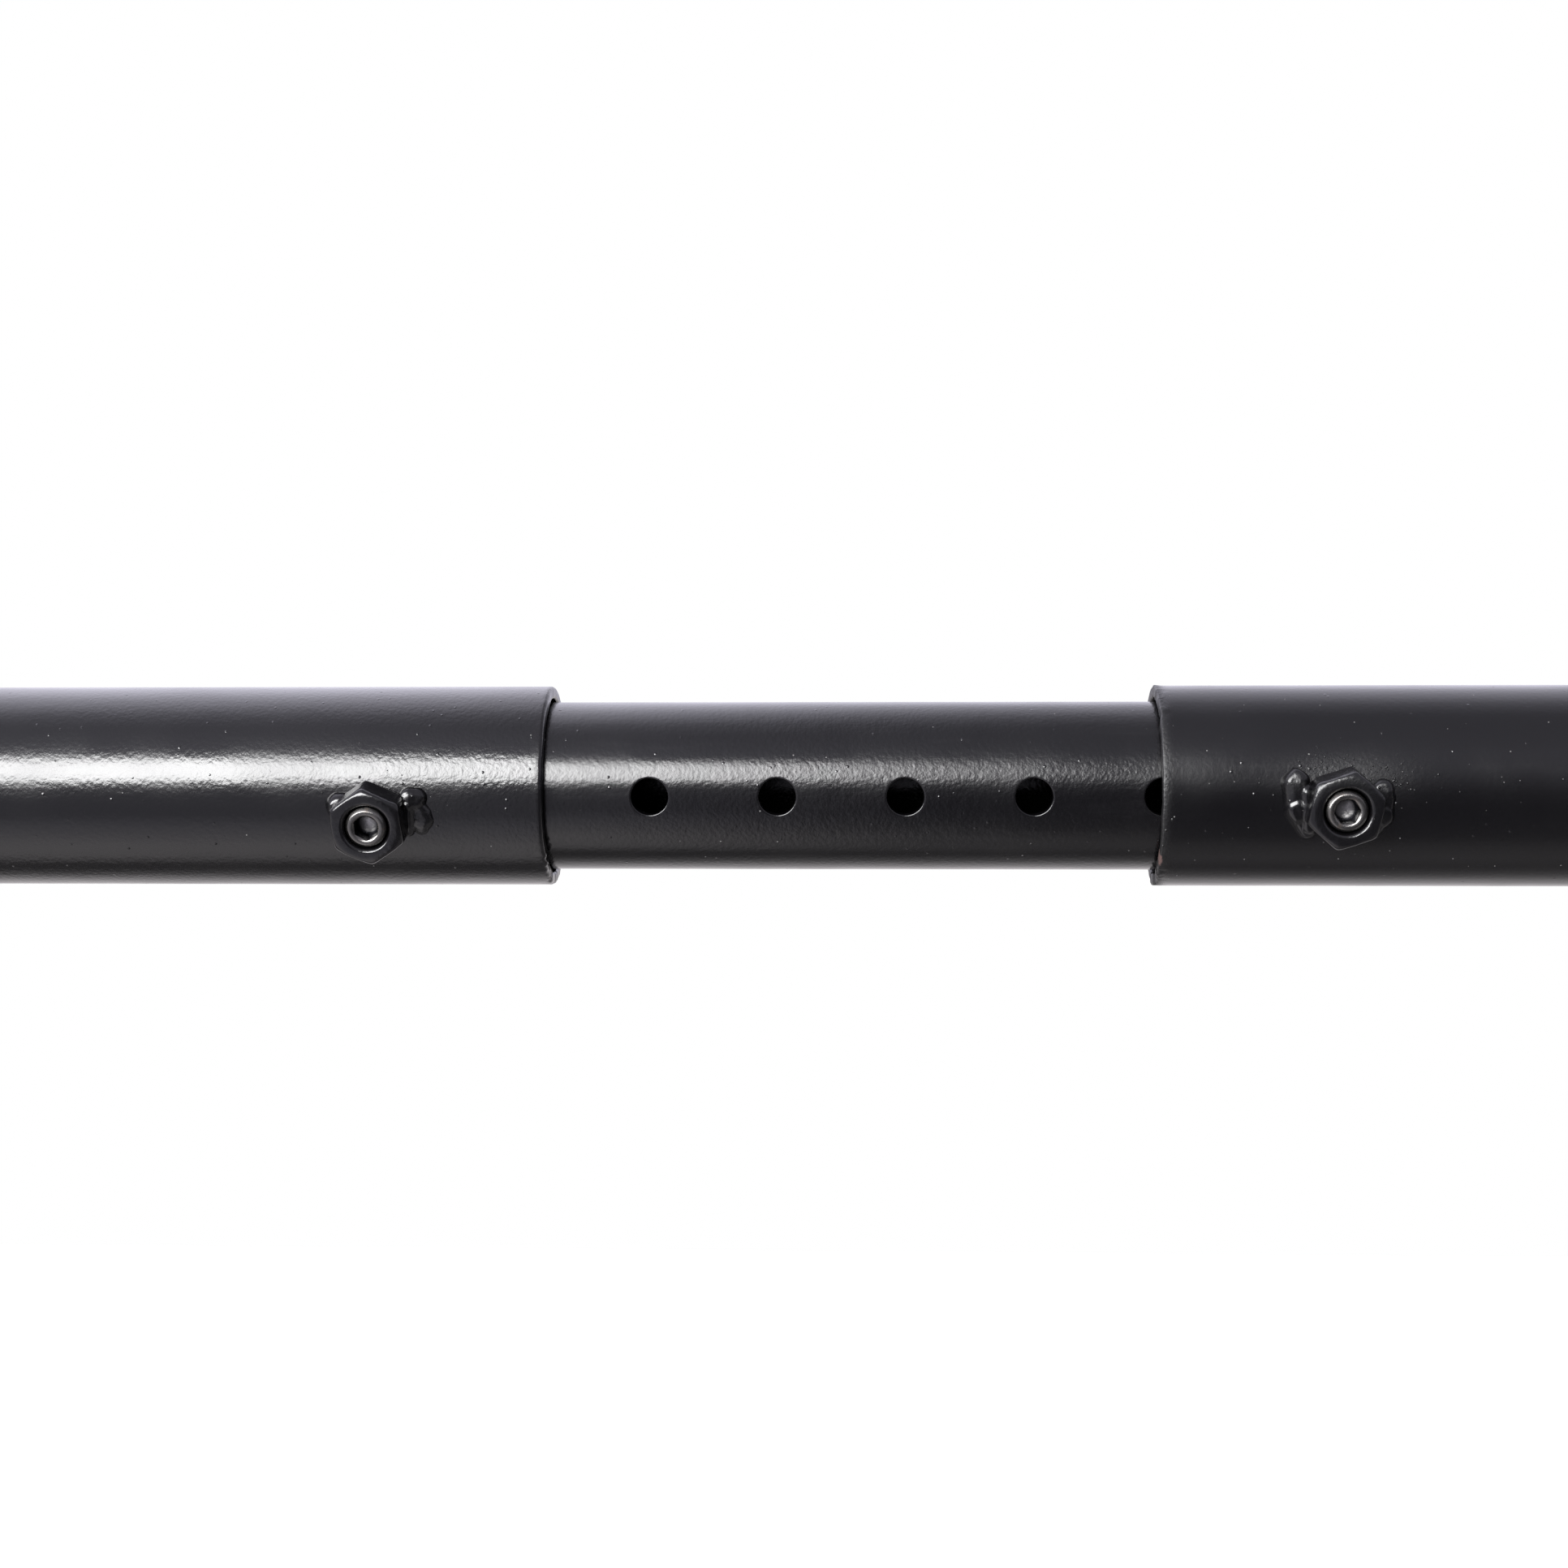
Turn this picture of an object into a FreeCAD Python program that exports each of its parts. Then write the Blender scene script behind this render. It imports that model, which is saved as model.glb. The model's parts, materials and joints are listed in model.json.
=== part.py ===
"""Telescopic tubular spreader beam.

A perforated inner tube joins two outer tubes, which slide on it along X. Near its mouth each outer tube
carries a welded nut with a socket set screw, which clamps the inner tube. A flat lug plate is let into a
slot in each outer end and welded there, between two half-round end caps. It takes a bow shackle above for
the sling, a bow shackle below for the load, and a tag line in its outer hole.

Millimetres. +X runs along the beam, +Z is up, and the nuts face -Y. The origin is on the beam's axis, midway
between the mouths of the outer tubes.
"""

import FreeCAD, Part
import Sketcher
import math
import os

V = FreeCAD.Vector
ALONG = V(1, 0, 0)
UP = V(0, 0, 1)
ORIGIN = (-1, 1)  # a sketch's origin point
ACROSS_AXIS, UPRIGHT_AXIS = -1, -2  # a sketch's two axes

SIZES = [  # alias, value, what it is
    ("outer_od", 50, "outer tube, outside diameter"),
    ("outer_wall", 3, "outer tube, wall"),
    ("outer_length", 320, "outer tube, mouth to end face"),
    ("tube_gap", 1, "radial gap between the two tubes"),
    ("inner_wall", 3, "inner tube, wall"),
    ("inner_length", 440, "inner tube, end to end"),
    ("inner_shift", -2.35, "inner tube's middle along X, as it is set"),
    ("exposed_length", 150, "inner tube showing between the mouths"),
    ("hole_count", 12, "setting holes in the inner tube"),
    ("hole_pitch", 31.2, "setting holes, spacing"),
    ("hole_bore", 9, "setting holes, diameter"),
    ("hole_angle", 8.2, "setting holes, degrees below the horizontal"),
    ("hole_edge", 0.3, "setting holes, rounding of the rim"),
    ("mouth_edge", 0.5, "rounding at the tube ends"),
    ("nut_flats", 17, "nut, across flats"),
    ("nut_height", 8, "nut, height"),
    ("nut_chamfer", 30, "nut, degrees of the corner chamfer"),
    ("nut_face", 16.2, "nut, diameter of its flat outer face"),
    ("nut_setback_left", 41.7, "left mouth to the nut's axis"),
    ("nut_setback_right", 42.6, "right mouth to the nut's axis"),
    ("nut_angle_left", 18.2, "left nut, degrees below the horizontal"),
    ("nut_angle_right", 10.9, "right nut, degrees below the horizontal"),
    ("hex_turn_left", 35.2, "left nut, turn of its corners"),
    ("hex_turn_right", 18.3, "right nut, turn of its corners"),
    ("thread_od", 10, "set screw, thread diameter"),
    ("thread_gap", 0.1, "radial gap in the nut's thread"),
    ("nut_sink", 0.7, "nut, countersink of its thread"),
    ("screw_hole_gap", 0.5, "outer tube, radial gap round the screw"),
    ("screw_length", 11.9, "set screw, length"),
    ("screw_chamfer", 0.8, "set screw, chamfer at the socket end"),
    ("point_taper", 1.5, "set screw, length and depth of its flat point's taper"),
    ("tip_gap", 0.1, "set screw's point to the inner tube"),
    ("socket_flats", 5, "set screw, hexagon socket"),
    ("socket_depth", 5, "set screw, socket depth"),
    ("socket_turn_left", 31.8, "left set screw, turn of its socket"),
    ("socket_turn_right", 5.7, "right set screw, turn of its socket"),
    ("lug_thickness", 12, "lug plate, thickness"),
    ("slot_gap", 0.2, "slot in the tube, gap each side of the lug plate"),
    ("slot_depth", 50, "lug plate, length let into the tube"),
    ("lug_lip", 4, "lug plate, height over the tube at its inner end"),
    ("lug_edge", 1, "lug plate, rounding of its outline"),
    ("ear_radius", 19, "lug plate, radius round a shackle hole"),
    ("ear_rise", 21, "shackle holes, out from the tube's top and bottom"),
    ("ear_inset", 14, "shackle holes, in from the tube's end face"),
    ("pin_od", 16, "shackle pin, diameter"),
    ("lug_hole_gap", 1, "radial gap round the pin in the lug plate"),
    ("tag_bore", 14, "tag line hole, diameter"),
    ("tag_radius", 16, "lug plate, radius round the tag line hole"),
    ("tag_reach", 28, "tag line hole, out from the tube's end face"),
    ("cap_thickness", 5, "end cap, thickness"),
    ("cap_step", 2.5, "end cap, rim set in from the tube's outside"),
    ("weld_leg", 5, "weld beside the lug plate, leg"),
    ("shackle_rod", 13, "shackle, rod diameter"),
    ("jaw_width", 20, "shackle, gap between its ears"),
    ("bow_width", 33, "shackle, inside width of the bow"),
    ("bow_depth", 56, "shackle, pin axis to the inside of the crown"),
    ("shackle_ear", 32, "shackle, ear diameter"),
    ("pin_gap", 0.4, "radial gap round the pin in the shackle's ears"),
    ("pin_proud", 4, "shackle pin, length past the far ear"),
    ("collar_od", 24, "shackle pin, collar diameter"),
    ("collar_width", 4, "shackle pin, collar width"),
    ("collar_gap", 0.2, "shackle pin, collar to the ear"),
    ("spot_face_gap", 1, "shackle, spot face wider than the collar all round"),
    ("eye_radius", 11, "shackle pin, radius of its eye"),
    ("eye_bore", 8, "shackle pin, hole in its eye"),
    ("eye_sink", 1.5, "shackle pin, eye let into its collar"),
    ("eye_thickness", 8, "shackle pin, thickness of its eye"),
]

# Weld lumps beside a nut: how far past its flat, how far up the tube, and the lump's radius.
NUT_WELDS = {
    "left": {-1: [(0.4, 5.6, 3.3), (0.2, 2.6, 2.9)], 1: [(1.0, 7.0, 3.9), (3.4, 5.6, 3.4), (2.0, 1.6, 3.9)]},
    "right": {-1: [(2.3, 6.0, 4.0), (2.2, 1.0, 4.0), (1.0, -3.0, 3.4)],
              1: [(1.3, 6.0, 3.6), (1.9, 1.0, 3.4), (1.0, -3.4, 3.0)]},
}


class Size:
    """A number together with the spreadsheet formula that it comes from, so that both stay in step."""

    def __init__(self, formula, number):
        self.formula, self.number = formula, number

    def join(self, sign, other, number):
        return Size(f"({self.formula} {sign} {as_size(other).formula})", number)

    def __add__(self, other):
        return self.join("+", other, self.number + as_size(other).number)

    def __sub__(self, other):
        return self.join("-", other, self.number - as_size(other).number)

    def __mul__(self, other):
        return self.join("*", other, self.number * as_size(other).number)

    def __truediv__(self, other):
        return self.join("/", other, self.number / as_size(other).number)

    def __radd__(self, other):
        return as_size(other) + self

    def __rmul__(self, other):
        return as_size(other) * self

    def __rsub__(self, other):
        return as_size(other) - self

    def __neg__(self):
        return 0 - self


def as_size(value):
    return value if isinstance(value, Size) else Size(f"({value!r})", float(value))


def cosine(angle):
    return Size(f"cos({angle.formula})", math.cos(math.radians(angle.number)))


def sine(angle):
    return Size(f"sin({angle.formula})", math.sin(math.radians(angle.number)))


def tangent(angle):
    return Size(f"tan({angle.formula})", math.tan(math.radians(angle.number)))


doc = FreeCAD.newDocument("spreader_beam")


def size_sheet():
    """The spreadsheet of driving sizes, and the same sizes by alias."""
    sheet = doc.addObject("Spreadsheet::Sheet", "beam")
    found = {}
    for row, (alias, value, meaning) in enumerate(SIZES, start=1):
        sheet.set(f"A{row}", alias)
        sheet.set(f"B{row}", str(value))
        sheet.setAlias(f"B{row}", alias)
        sheet.set(f"C{row}", meaning)
        found[alias] = Size(f"beam.{alias}", float(value))
    doc.recompute()
    return found


size = size_sheet()

# Sizes that follow from the driving ones.
outer_r = size["outer_od"] / 2
bore_r = outer_r - size["outer_wall"]
inner_r = bore_r - size["tube_gap"]
mouth_x = size["exposed_length"] / 2
end_x = mouth_x + size["outer_length"]
thread_r = size["thread_od"] / 2
lug_half = size["lug_thickness"] / 2
cap_r = outer_r - size["cap_step"]
ear_height = outer_r + size["ear_rise"]
rod_r = size["shackle_rod"] / 2
jaw_half = size["jaw_width"] / 2
ear_out = jaw_half + size["shackle_rod"]
pin_r = size["pin_od"] / 2

parts = []  # the finished sub-parts, each with its own Label


# ---------------------------------------------------------------- helpers


def bind(thing, **sizes):
    """Ties properties of an object to the sheet."""
    for name, value in sizes.items():
        thing.setExpression(name, as_size(value).formula)


def place(thing, x=0, y=0, z=0, axis=UP, angle=0):
    """Puts an object at x, y, z, turned about axis by angle, both tied to the sheet."""
    x, y, z, angle = as_size(x), as_size(y), as_size(z), as_size(angle)
    turn = FreeCAD.Rotation(axis, angle.number)
    thing.Placement = FreeCAD.Placement(V(x.number, y.number, z.number), turn)
    for name, value in (("x", x), ("y", y), ("z", z)):
        thing.setExpression(f"Placement.Base.{name}", value.formula)
    if angle.number:
        thing.setExpression("Placement.Rotation.Angle", angle.formula)


def keep(thing, label):
    """Marks an object as a finished sub-part."""
    thing.Label = label
    parts.append(thing)
    return thing


def new_body(label):
    return keep(doc.addObject("PartDesign::Body", label), label)


def new_sketch(body, name, role, lift=None, tilt=None):
    """A sketch on one of the body's own origin planes, lifted off it or tilted about the sketch's X axis."""
    plane = next(f for f in body.Origin.OriginFeatures if f.Role == role)
    sketch = body.newObject("Sketcher::SketchObject", name)
    sketch.AttachmentSupport = [(plane, "")]
    sketch.MapMode = "FlatFace"
    if lift is not None:
        sketch.AttachmentOffset = FreeCAD.Placement(V(0, 0, lift.number), FreeCAD.Rotation())
        sketch.setExpression("AttachmentOffset.Base.z", lift.formula)
    if tilt is not None:
        sketch.AttachmentOffset = FreeCAD.Placement(V(), FreeCAD.Rotation(ALONG, tilt.number))
        sketch.setExpression("AttachmentOffset.Rotation.Angle", tilt.formula)
    return sketch


def dimension(sketch, kind, geometry, value):
    """A dimension of a sketch, tied to the sheet."""
    value = as_size(value)
    index = sketch.addConstraint(Sketcher.Constraint(kind, *geometry, value.number))
    sketch.setExpression(f"Constraints[{index}]", value.formula)


def fix_point(sketch, geometry, point, x, y):
    """Fixes a point of a sketch at x, y."""
    x, y = as_size(x), as_size(y)
    for value, kind, axis in ((x, "DistanceX", UPRIGHT_AXIS), (y, "DistanceY", ACROSS_AXIS)):
        if abs(value.number) < 1e-9:
            sketch.addConstraint(Sketcher.Constraint("PointOnObject", geometry, point, axis))
        else:
            dimension(sketch, kind, (*ORIGIN, geometry, point), value)


def add_circle(sketch, radius, x=0, y=0):
    x, y = as_size(x), as_size(y)
    index = sketch.addGeometry(Part.Circle(V(x.number, y.number, 0), V(0, 0, 1), radius.number))
    fix_point(sketch, index, 3, x, y)
    dimension(sketch, "Radius", (index,), radius)
    return index


def add_polygon(sketch, corners):
    """A closed outline of straight lines, with each corner fixed."""
    corners = [(as_size(x), as_size(y)) for x, y in corners]
    spots = [V(x.number, y.number, 0) for x, y in corners]
    lines = [
        sketch.addGeometry(Part.LineSegment(spot, after))
        for spot, after in zip(spots, spots[1:] + spots[:1])
    ]
    for line, after in zip(lines, lines[1:] + lines[:1]):
        sketch.addConstraint(Sketcher.Constraint("Coincident", line, 2, after, 1))
    for line, (x, y) in zip(lines, corners):
        fix_point(sketch, line, 1, x, y)


def pad(body, sketch, length, both_ways=False, backwards=False):
    feature = body.newObject("PartDesign::Pad", f"{sketch.Name}_pad")
    feature.Profile = sketch
    feature.Midplane = both_ways
    feature.Reversed = backwards
    bind(feature, Length=length)
    sketch.Visibility = False
    return feature


def pocket(body, sketch, length, both_ways=False, backwards=False):
    """Cuts a sketch out of a body, and makes sure that it cuts something."""
    doc.recompute()
    before = body.Shape.Volume
    feature = body.newObject("PartDesign::Pocket", f"{sketch.Name}_cut")
    feature.Profile = sketch
    feature.Midplane = both_ways
    feature.Reversed = backwards
    bind(feature, Length=length)
    doc.recompute()
    if body.Shape.Volume >= before:
        raise RuntimeError(f"{sketch.Name} cuts nothing")
    return feature


def round_edges(body, radius, wanted):
    """Rounds those edges of the body that wanted(edge) picks."""
    doc.recompute()
    base = body.Tip
    names = [f"Edge{n}" for n, edge in enumerate(base.Shape.Edges, start=1) if wanted(edge)]
    feature = body.newObject("PartDesign::Fillet", f"{body.Name}_edges")
    feature.Base = (base, names)
    bind(feature, Radius=radius)
    doc.recompute()
    return feature


def primitive(kind, name, **sizes):
    thing = doc.addObject(f"Part::{kind}", name)
    bind(thing, **sizes)
    return thing


def fused(name, shapes):
    thing = doc.addObject("Part::MultiFuse", name)
    thing.Shapes = shapes
    return thing


def cut(name, base, tool):
    thing = doc.addObject("Part::Cut", name)
    thing.Base, thing.Tool = base, tool
    return thing


# ---------------------------------------------------------------- the two kinds of tube


def edge_lies_at(edge, x):
    return all(abs(vertex.X - x) < 1e-4 for vertex in edge.Vertexes) and edge.BoundBox.XLength < 1e-4


def inner_tube():
    """The perforated tube in the middle, with one row of setting holes through its front wall."""
    body = new_body("inner_tube")
    place(body, x=size["inner_shift"])
    ring = new_sketch(body, "inner_ring", "YZ_Plane")
    add_circle(ring, inner_r)
    add_circle(ring, inner_r - size["inner_wall"])
    pad(body, ring, size["inner_length"], both_ways=True)
    half = size["inner_length"].number / 2
    round_edges(body, size["mouth_edge"], lambda edge: edge_lies_at(edge, half) or edge_lies_at(edge, -half))
    row = new_sketch(body, "first_hole", "XZ_Plane", tilt=size["hole_angle"])
    row_length = size["hole_pitch"] * (size["hole_count"] - 1)
    add_circle(row, size["hole_bore"] / 2, x=-row_length / 2)
    first = pocket(body, row, inner_r * 2, backwards=True)
    pattern = body.newObject("PartDesign::LinearPattern", "hole_row")
    pattern.Originals = [first]
    pattern.Direction = (row, ["H_Axis"])
    bind(pattern, Length=row_length, Occurrences=size["hole_count"])
    body.Tip = pattern
    doc.recompute()
    round_edges(body, size["hole_edge"], is_hole_rim)


def is_hole_rim(edge):
    """True for the outer rim of a setting hole: a closed curve on the tube's outside."""
    bore = size["hole_bore"].number
    on_outside = all(
        abs(math.hypot(spot.y, spot.z) - inner_r.number) < 1e-3 for spot in edge.discretize(7)
    )
    return on_outside and edge.BoundBox.XLength < 1.01 * bore and edge.BoundBox.ZLength > bore / 4


def outer_tube(side):
    """One outer tube: an open mouth, a hole for the set screw, and a slot for the lug plate."""
    body = new_body(f"outer_tube_{side.name}")
    side.place(body, mouth_x)
    ring = new_sketch(body, f"outer_ring_{side.name}", "YZ_Plane")
    add_circle(ring, outer_r)
    add_circle(ring, bore_r)
    pad(body, ring, size["outer_length"])
    round_edges(body, size["mouth_edge"], lambda edge: edge_lies_at(edge, 0))
    slot = new_sketch(body, f"lug_slot_{side.name}", "XY_Plane")
    half = lug_half + size["slot_gap"]
    start, stop = size["outer_length"] - size["slot_depth"], size["outer_length"] + size["slot_gap"]
    add_polygon(slot, [(start, -half), (stop, -half), (stop, half), (start, half)])
    pocket(body, slot, size["outer_od"] * 2, both_ways=True)
    hole = new_sketch(body, f"screw_hole_{side.name}", "XZ_Plane", tilt=side.local_angle)
    add_circle(hole, thread_r + size["screw_hole_gap"], x=side.nut_setback)
    pocket(body, hole, size["outer_od"], backwards=True)


# ---------------------------------------------------------------- the outer end


def lug_plate(side):
    """The flat plate in the outer end: two ears for the shackle pins, a boss for the tag line hole."""
    body = new_body(f"lug_plate_{side.name}")
    side.place(body, end_x)
    sketch = new_sketch(body, f"lug_outline_{side.name}", "XZ_Plane")
    inner_x = -size["slot_depth"]
    lip_z = outer_r + size["lug_lip"]
    ear = V(-size["ear_inset"].number, ear_height.number, 0)
    tag = V(size["tag_reach"].number, 0, 0)
    ear_r, tag_r = size["ear_radius"].number, size["tag_radius"].number
    corner = V(inner_x.number, lip_z.number, 0)

    to_ear = ear - corner
    rise = math.atan2(to_ear.y, to_ear.x) + math.asin(ear_r / to_ear.Length)
    leave = rise + math.pi / 2  # where the sloping inner edge meets the ear, as an angle round the ear
    to_tag = tag - ear
    meet = math.atan2(to_tag.y, to_tag.x) + math.acos((ear_r - tag_r) / to_tag.Length)

    def on(centre, radius, angle, flip=1):
        return V(centre.x + radius * math.cos(angle), flip * (centre.y + radius * math.sin(angle)), 0)

    def arc(centre, radius, start, stop):
        return sketch.addGeometry(Part.ArcOfCircle(Part.Circle(centre, V(0, 0, 1), radius), start, stop))

    def line(start, stop):
        return sketch.addGeometry(Part.LineSegment(start, stop))

    low_ear, low_corner = V(ear.x, -ear.y, 0), V(corner.x, -corner.y, 0)
    inner_edge = line(low_corner, corner)
    top_slope = line(corner, on(ear, ear_r, leave))
    top_ear = arc(ear, ear_r, meet, leave)
    top_fall = line(on(ear, ear_r, meet), on(tag, tag_r, meet))
    boss = arc(tag, tag_r, -meet, meet)
    low_fall = line(on(tag, tag_r, meet, -1), on(ear, ear_r, meet, -1))
    bottom_ear = arc(low_ear, ear_r, -leave, -meet)
    low_slope = line(on(ear, ear_r, leave, -1), low_corner)

    joins = [("Coincident", inner_edge, 2, top_slope, 1), ("Tangent", top_slope, 2, top_ear, 2),
             ("Tangent", top_ear, 1, top_fall, 1), ("Tangent", top_fall, 2, boss, 2),
             ("Tangent", boss, 1, low_fall, 1), ("Tangent", low_fall, 2, bottom_ear, 2),
             ("Tangent", bottom_ear, 1, low_slope, 1), ("Coincident", low_slope, 2, inner_edge, 1)]
    for join in joins:
        sketch.addConstraint(Sketcher.Constraint(*join))
    fix_point(sketch, inner_edge, 1, inner_x, -lip_z)
    fix_point(sketch, inner_edge, 2, inner_x, lip_z)
    for index, height in ((top_ear, ear_height), (bottom_ear, -ear_height)):
        fix_point(sketch, index, 3, -size["ear_inset"], height)
        dimension(sketch, "Radius", (index,), size["ear_radius"])
        add_circle(sketch, pin_r + size["lug_hole_gap"], -size["ear_inset"], height)
    fix_point(sketch, boss, 3, size["tag_reach"], 0)
    dimension(sketch, "Radius", (boss,), size["tag_radius"])
    add_circle(sketch, size["tag_bore"] / 2, size["tag_reach"], 0)
    pad(body, sketch, size["lug_thickness"], both_ways=True)

    def outline(edge):
        flat = edge.BoundBox.YLength < 1e-4
        hole = edge.isClosed()
        return flat and not hole

    round_edges(body, size["lug_edge"], outline)


def lug_slab(name, start, length):
    """A slab as thick as the lug plate, for cutting end pieces where the plate runs through them."""
    slab = primitive("Box", name, Length=length, Width=size["lug_thickness"], Height=size["outer_od"] * 3)
    place(slab, x=start, y=-lug_half, z=-size["outer_od"] * 1.5)
    return slab


def end_cap(side):
    """Two half-round plates, which close the tube's end in front of and behind the lug plate."""
    disc = primitive("Cylinder", f"cap_disc_{side.name}", Radius=cap_r, Height=size["cap_thickness"])
    place(disc, axis=V(0, 1, 0), angle=90)
    slab = lug_slab(f"cap_slab_{side.name}", as_size(0), size["cap_thickness"])
    cap = keep(cut(f"end_cap_{side.name}", disc, slab), f"end_cap_{side.name}")
    side.place(cap, end_x)


def cap_weld(side):
    """The bead round the rim of the end caps, broken where the lug plate passes."""
    cone = primitive("Cone", f"cap_cone_{side.name}", Radius1=outer_r, Radius2=cap_r, Height=size["cap_step"])
    place(cone, axis=V(0, 1, 0), angle=90)
    core = primitive("Cylinder", f"cap_core_{side.name}", Radius=cap_r, Height=size["cap_step"])
    place(core, axis=V(0, 1, 0), angle=90)
    slab = lug_slab(f"cap_weld_slab_{side.name}", as_size(0), size["cap_step"])
    tool = fused(f"cap_weld_tool_{side.name}", [core, slab])
    weld = keep(cut(f"cap_weld_{side.name}", cone, tool), f"cap_weld_{side.name}")
    side.place(weld, end_x)


def lug_weld(side):
    """Four fillet welds between the lug plate's sides and the outside of the tube."""
    runs = []
    reach = lug_half + size["weld_leg"]
    for name, turn in (("top", 90), ("bottom", -90)):
        wedge = doc.addObject("Part::Wedge", f"lug_weld_{name}_{side.name}")
        bind(wedge, Xmin=-size["slot_depth"], Xmax=0, X2min=-size["slot_depth"], X2max=0,
             Ymin=outer_r - size["weld_leg"], Ymax=outer_r + size["weld_leg"],
             Zmin=-reach - size["weld_leg"], Zmax=reach + size["weld_leg"], Z2min=-lug_half, Z2max=lug_half)
        place(wedge, axis=ALONG, angle=turn)
        runs.append(wedge)
    tube = primitive("Cylinder", f"lug_weld_tube_{side.name}", Radius=outer_r, Height=size["slot_depth"] * 2)
    place(tube, x=-size["slot_depth"] * 1.5, axis=V(0, 1, 0), angle=90)
    slab = lug_slab(f"lug_weld_slab_{side.name}", -size["slot_depth"], size["slot_depth"])
    tool = fused(f"lug_weld_tool_{side.name}", [tube, slab])
    both = fused(f"lug_weld_runs_{side.name}", runs)
    weld = keep(cut(f"lug_weld_{side.name}", both, tool), f"lug_weld_{side.name}")
    side.place(weld, end_x)


# ---------------------------------------------------------------- the clamp


def hexagon(name, flats, height, turn):
    prism = primitive("Prism", name, Circumradius=flats / 2 / cosine(as_size(30)), Height=height)
    prism.Polygon = 6
    place(prism, axis=UP, angle=turn)
    return prism


def weld_nut(side):
    """The hexagon nut on the outside of the tube, chamfered and countersunk on its outer face."""
    prism = hexagon(f"nut_prism_{side.name}", size["nut_flats"], size["nut_height"], side.hex_turn)
    spread = size["nut_height"] / tangent(size["nut_chamfer"])
    cone = primitive("Cone", f"nut_cone_{side.name}", Radius1=size["nut_face"] / 2 + spread,
                     Radius2=size["nut_face"] / 2, Height=size["nut_height"])
    blank = doc.addObject("Part::Common", f"nut_blank_{side.name}")
    blank.Base, blank.Tool = prism, cone
    hole_r = thread_r + size["thread_gap"]
    bore = primitive("Cylinder", f"nut_bore_{side.name}", Radius=hole_r, Height=size["nut_height"])
    sink = primitive("Cone", f"nut_sink_{side.name}", Radius1=hole_r, Radius2=hole_r + size["nut_sink"],
                     Height=size["nut_sink"])
    place(sink, z=size["nut_height"] - size["nut_sink"])
    tool = fused(f"nut_tool_{side.name}", [bore, sink])
    nut = keep(cut(f"weld_nut_{side.name}", blank, tool), f"weld_nut_{side.name}")
    side.place_radially(nut, outer_r)


def nut_weld(side):
    """Hand-laid weld lumps on both sides of the nut, lying on the tube and against the nut."""
    lumps = []
    for hand, spots in NUT_WELDS[side.name].items():
        for past_flat, rise, radius in spots:
            lump = primitive("Sphere", f"nut_lump_{side.name}_{len(lumps)}", Radius=radius)
            drop = outer_r - outer_r * cosine(as_size(math.degrees(math.asin(rise / outer_r.number))))
            place(lump, x=hand * (size["nut_flats"] / 2 + past_flat), y=rise, z=-drop)
            lumps.append(lump)
    tube = primitive("Cylinder", f"nut_weld_tube_{side.name}", Radius=outer_r, Height=size["outer_od"] * 2)
    place(tube, x=-size["outer_od"], z=-outer_r, axis=V(0, 1, 0), angle=90)
    nut = hexagon(f"nut_weld_nut_{side.name}", size["nut_flats"], size["nut_height"] * 2, side.hex_turn)
    screw = primitive("Cylinder", f"nut_weld_screw_{side.name}", Radius=thread_r * 1.3,
                      Height=size["nut_height"] * 2)
    place(screw, z=-size["nut_height"])
    tool = fused(f"nut_weld_tool_{side.name}", [tube, nut, screw])
    both = fused(f"nut_weld_lumps_{side.name}", lumps)
    weld = keep(cut(f"nut_weld_{side.name}", both, tool), f"nut_weld_{side.name}")
    side.place_radially(weld, outer_r)


def set_screw(side):
    """The socket set screw: a chamfered end with a hexagon socket, a plain shank, and a flat point."""
    shank_end = size["screw_length"] - size["screw_chamfer"]
    point = primitive("Cone", f"screw_point_{side.name}", Radius1=thread_r - size["point_taper"],
                      Radius2=thread_r, Height=size["point_taper"])
    shank = primitive("Cylinder", f"screw_shank_{side.name}", Radius=thread_r,
                      Height=shank_end - size["point_taper"])
    place(shank, z=size["point_taper"])
    head = primitive("Cone", f"screw_head_{side.name}", Radius1=thread_r,
                     Radius2=thread_r - size["screw_chamfer"], Height=size["screw_chamfer"])
    place(head, z=shank_end)
    solid = fused(f"screw_solid_{side.name}", [point, shank, head])
    socket = hexagon(f"screw_hex_{side.name}", size["socket_flats"], size["socket_depth"], side.socket_turn)
    socket_floor = size["screw_length"] - size["socket_depth"]
    socket.setExpression("Placement.Base.z", socket_floor.formula)
    drill_r = size["socket_flats"] / 2
    drill = primitive("Cone", f"screw_drill_{side.name}", Radius1=0, Radius2=drill_r, Height=drill_r / 2)
    place(drill, z=socket_floor - drill_r / 2)
    tool = fused(f"screw_tool_{side.name}", [socket, drill])
    screw = keep(cut(f"set_screw_{side.name}", solid, tool), f"set_screw_{side.name}")
    side.place_radially(screw, inner_r + size["tip_gap"])


# ---------------------------------------------------------------- the shackles


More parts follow.
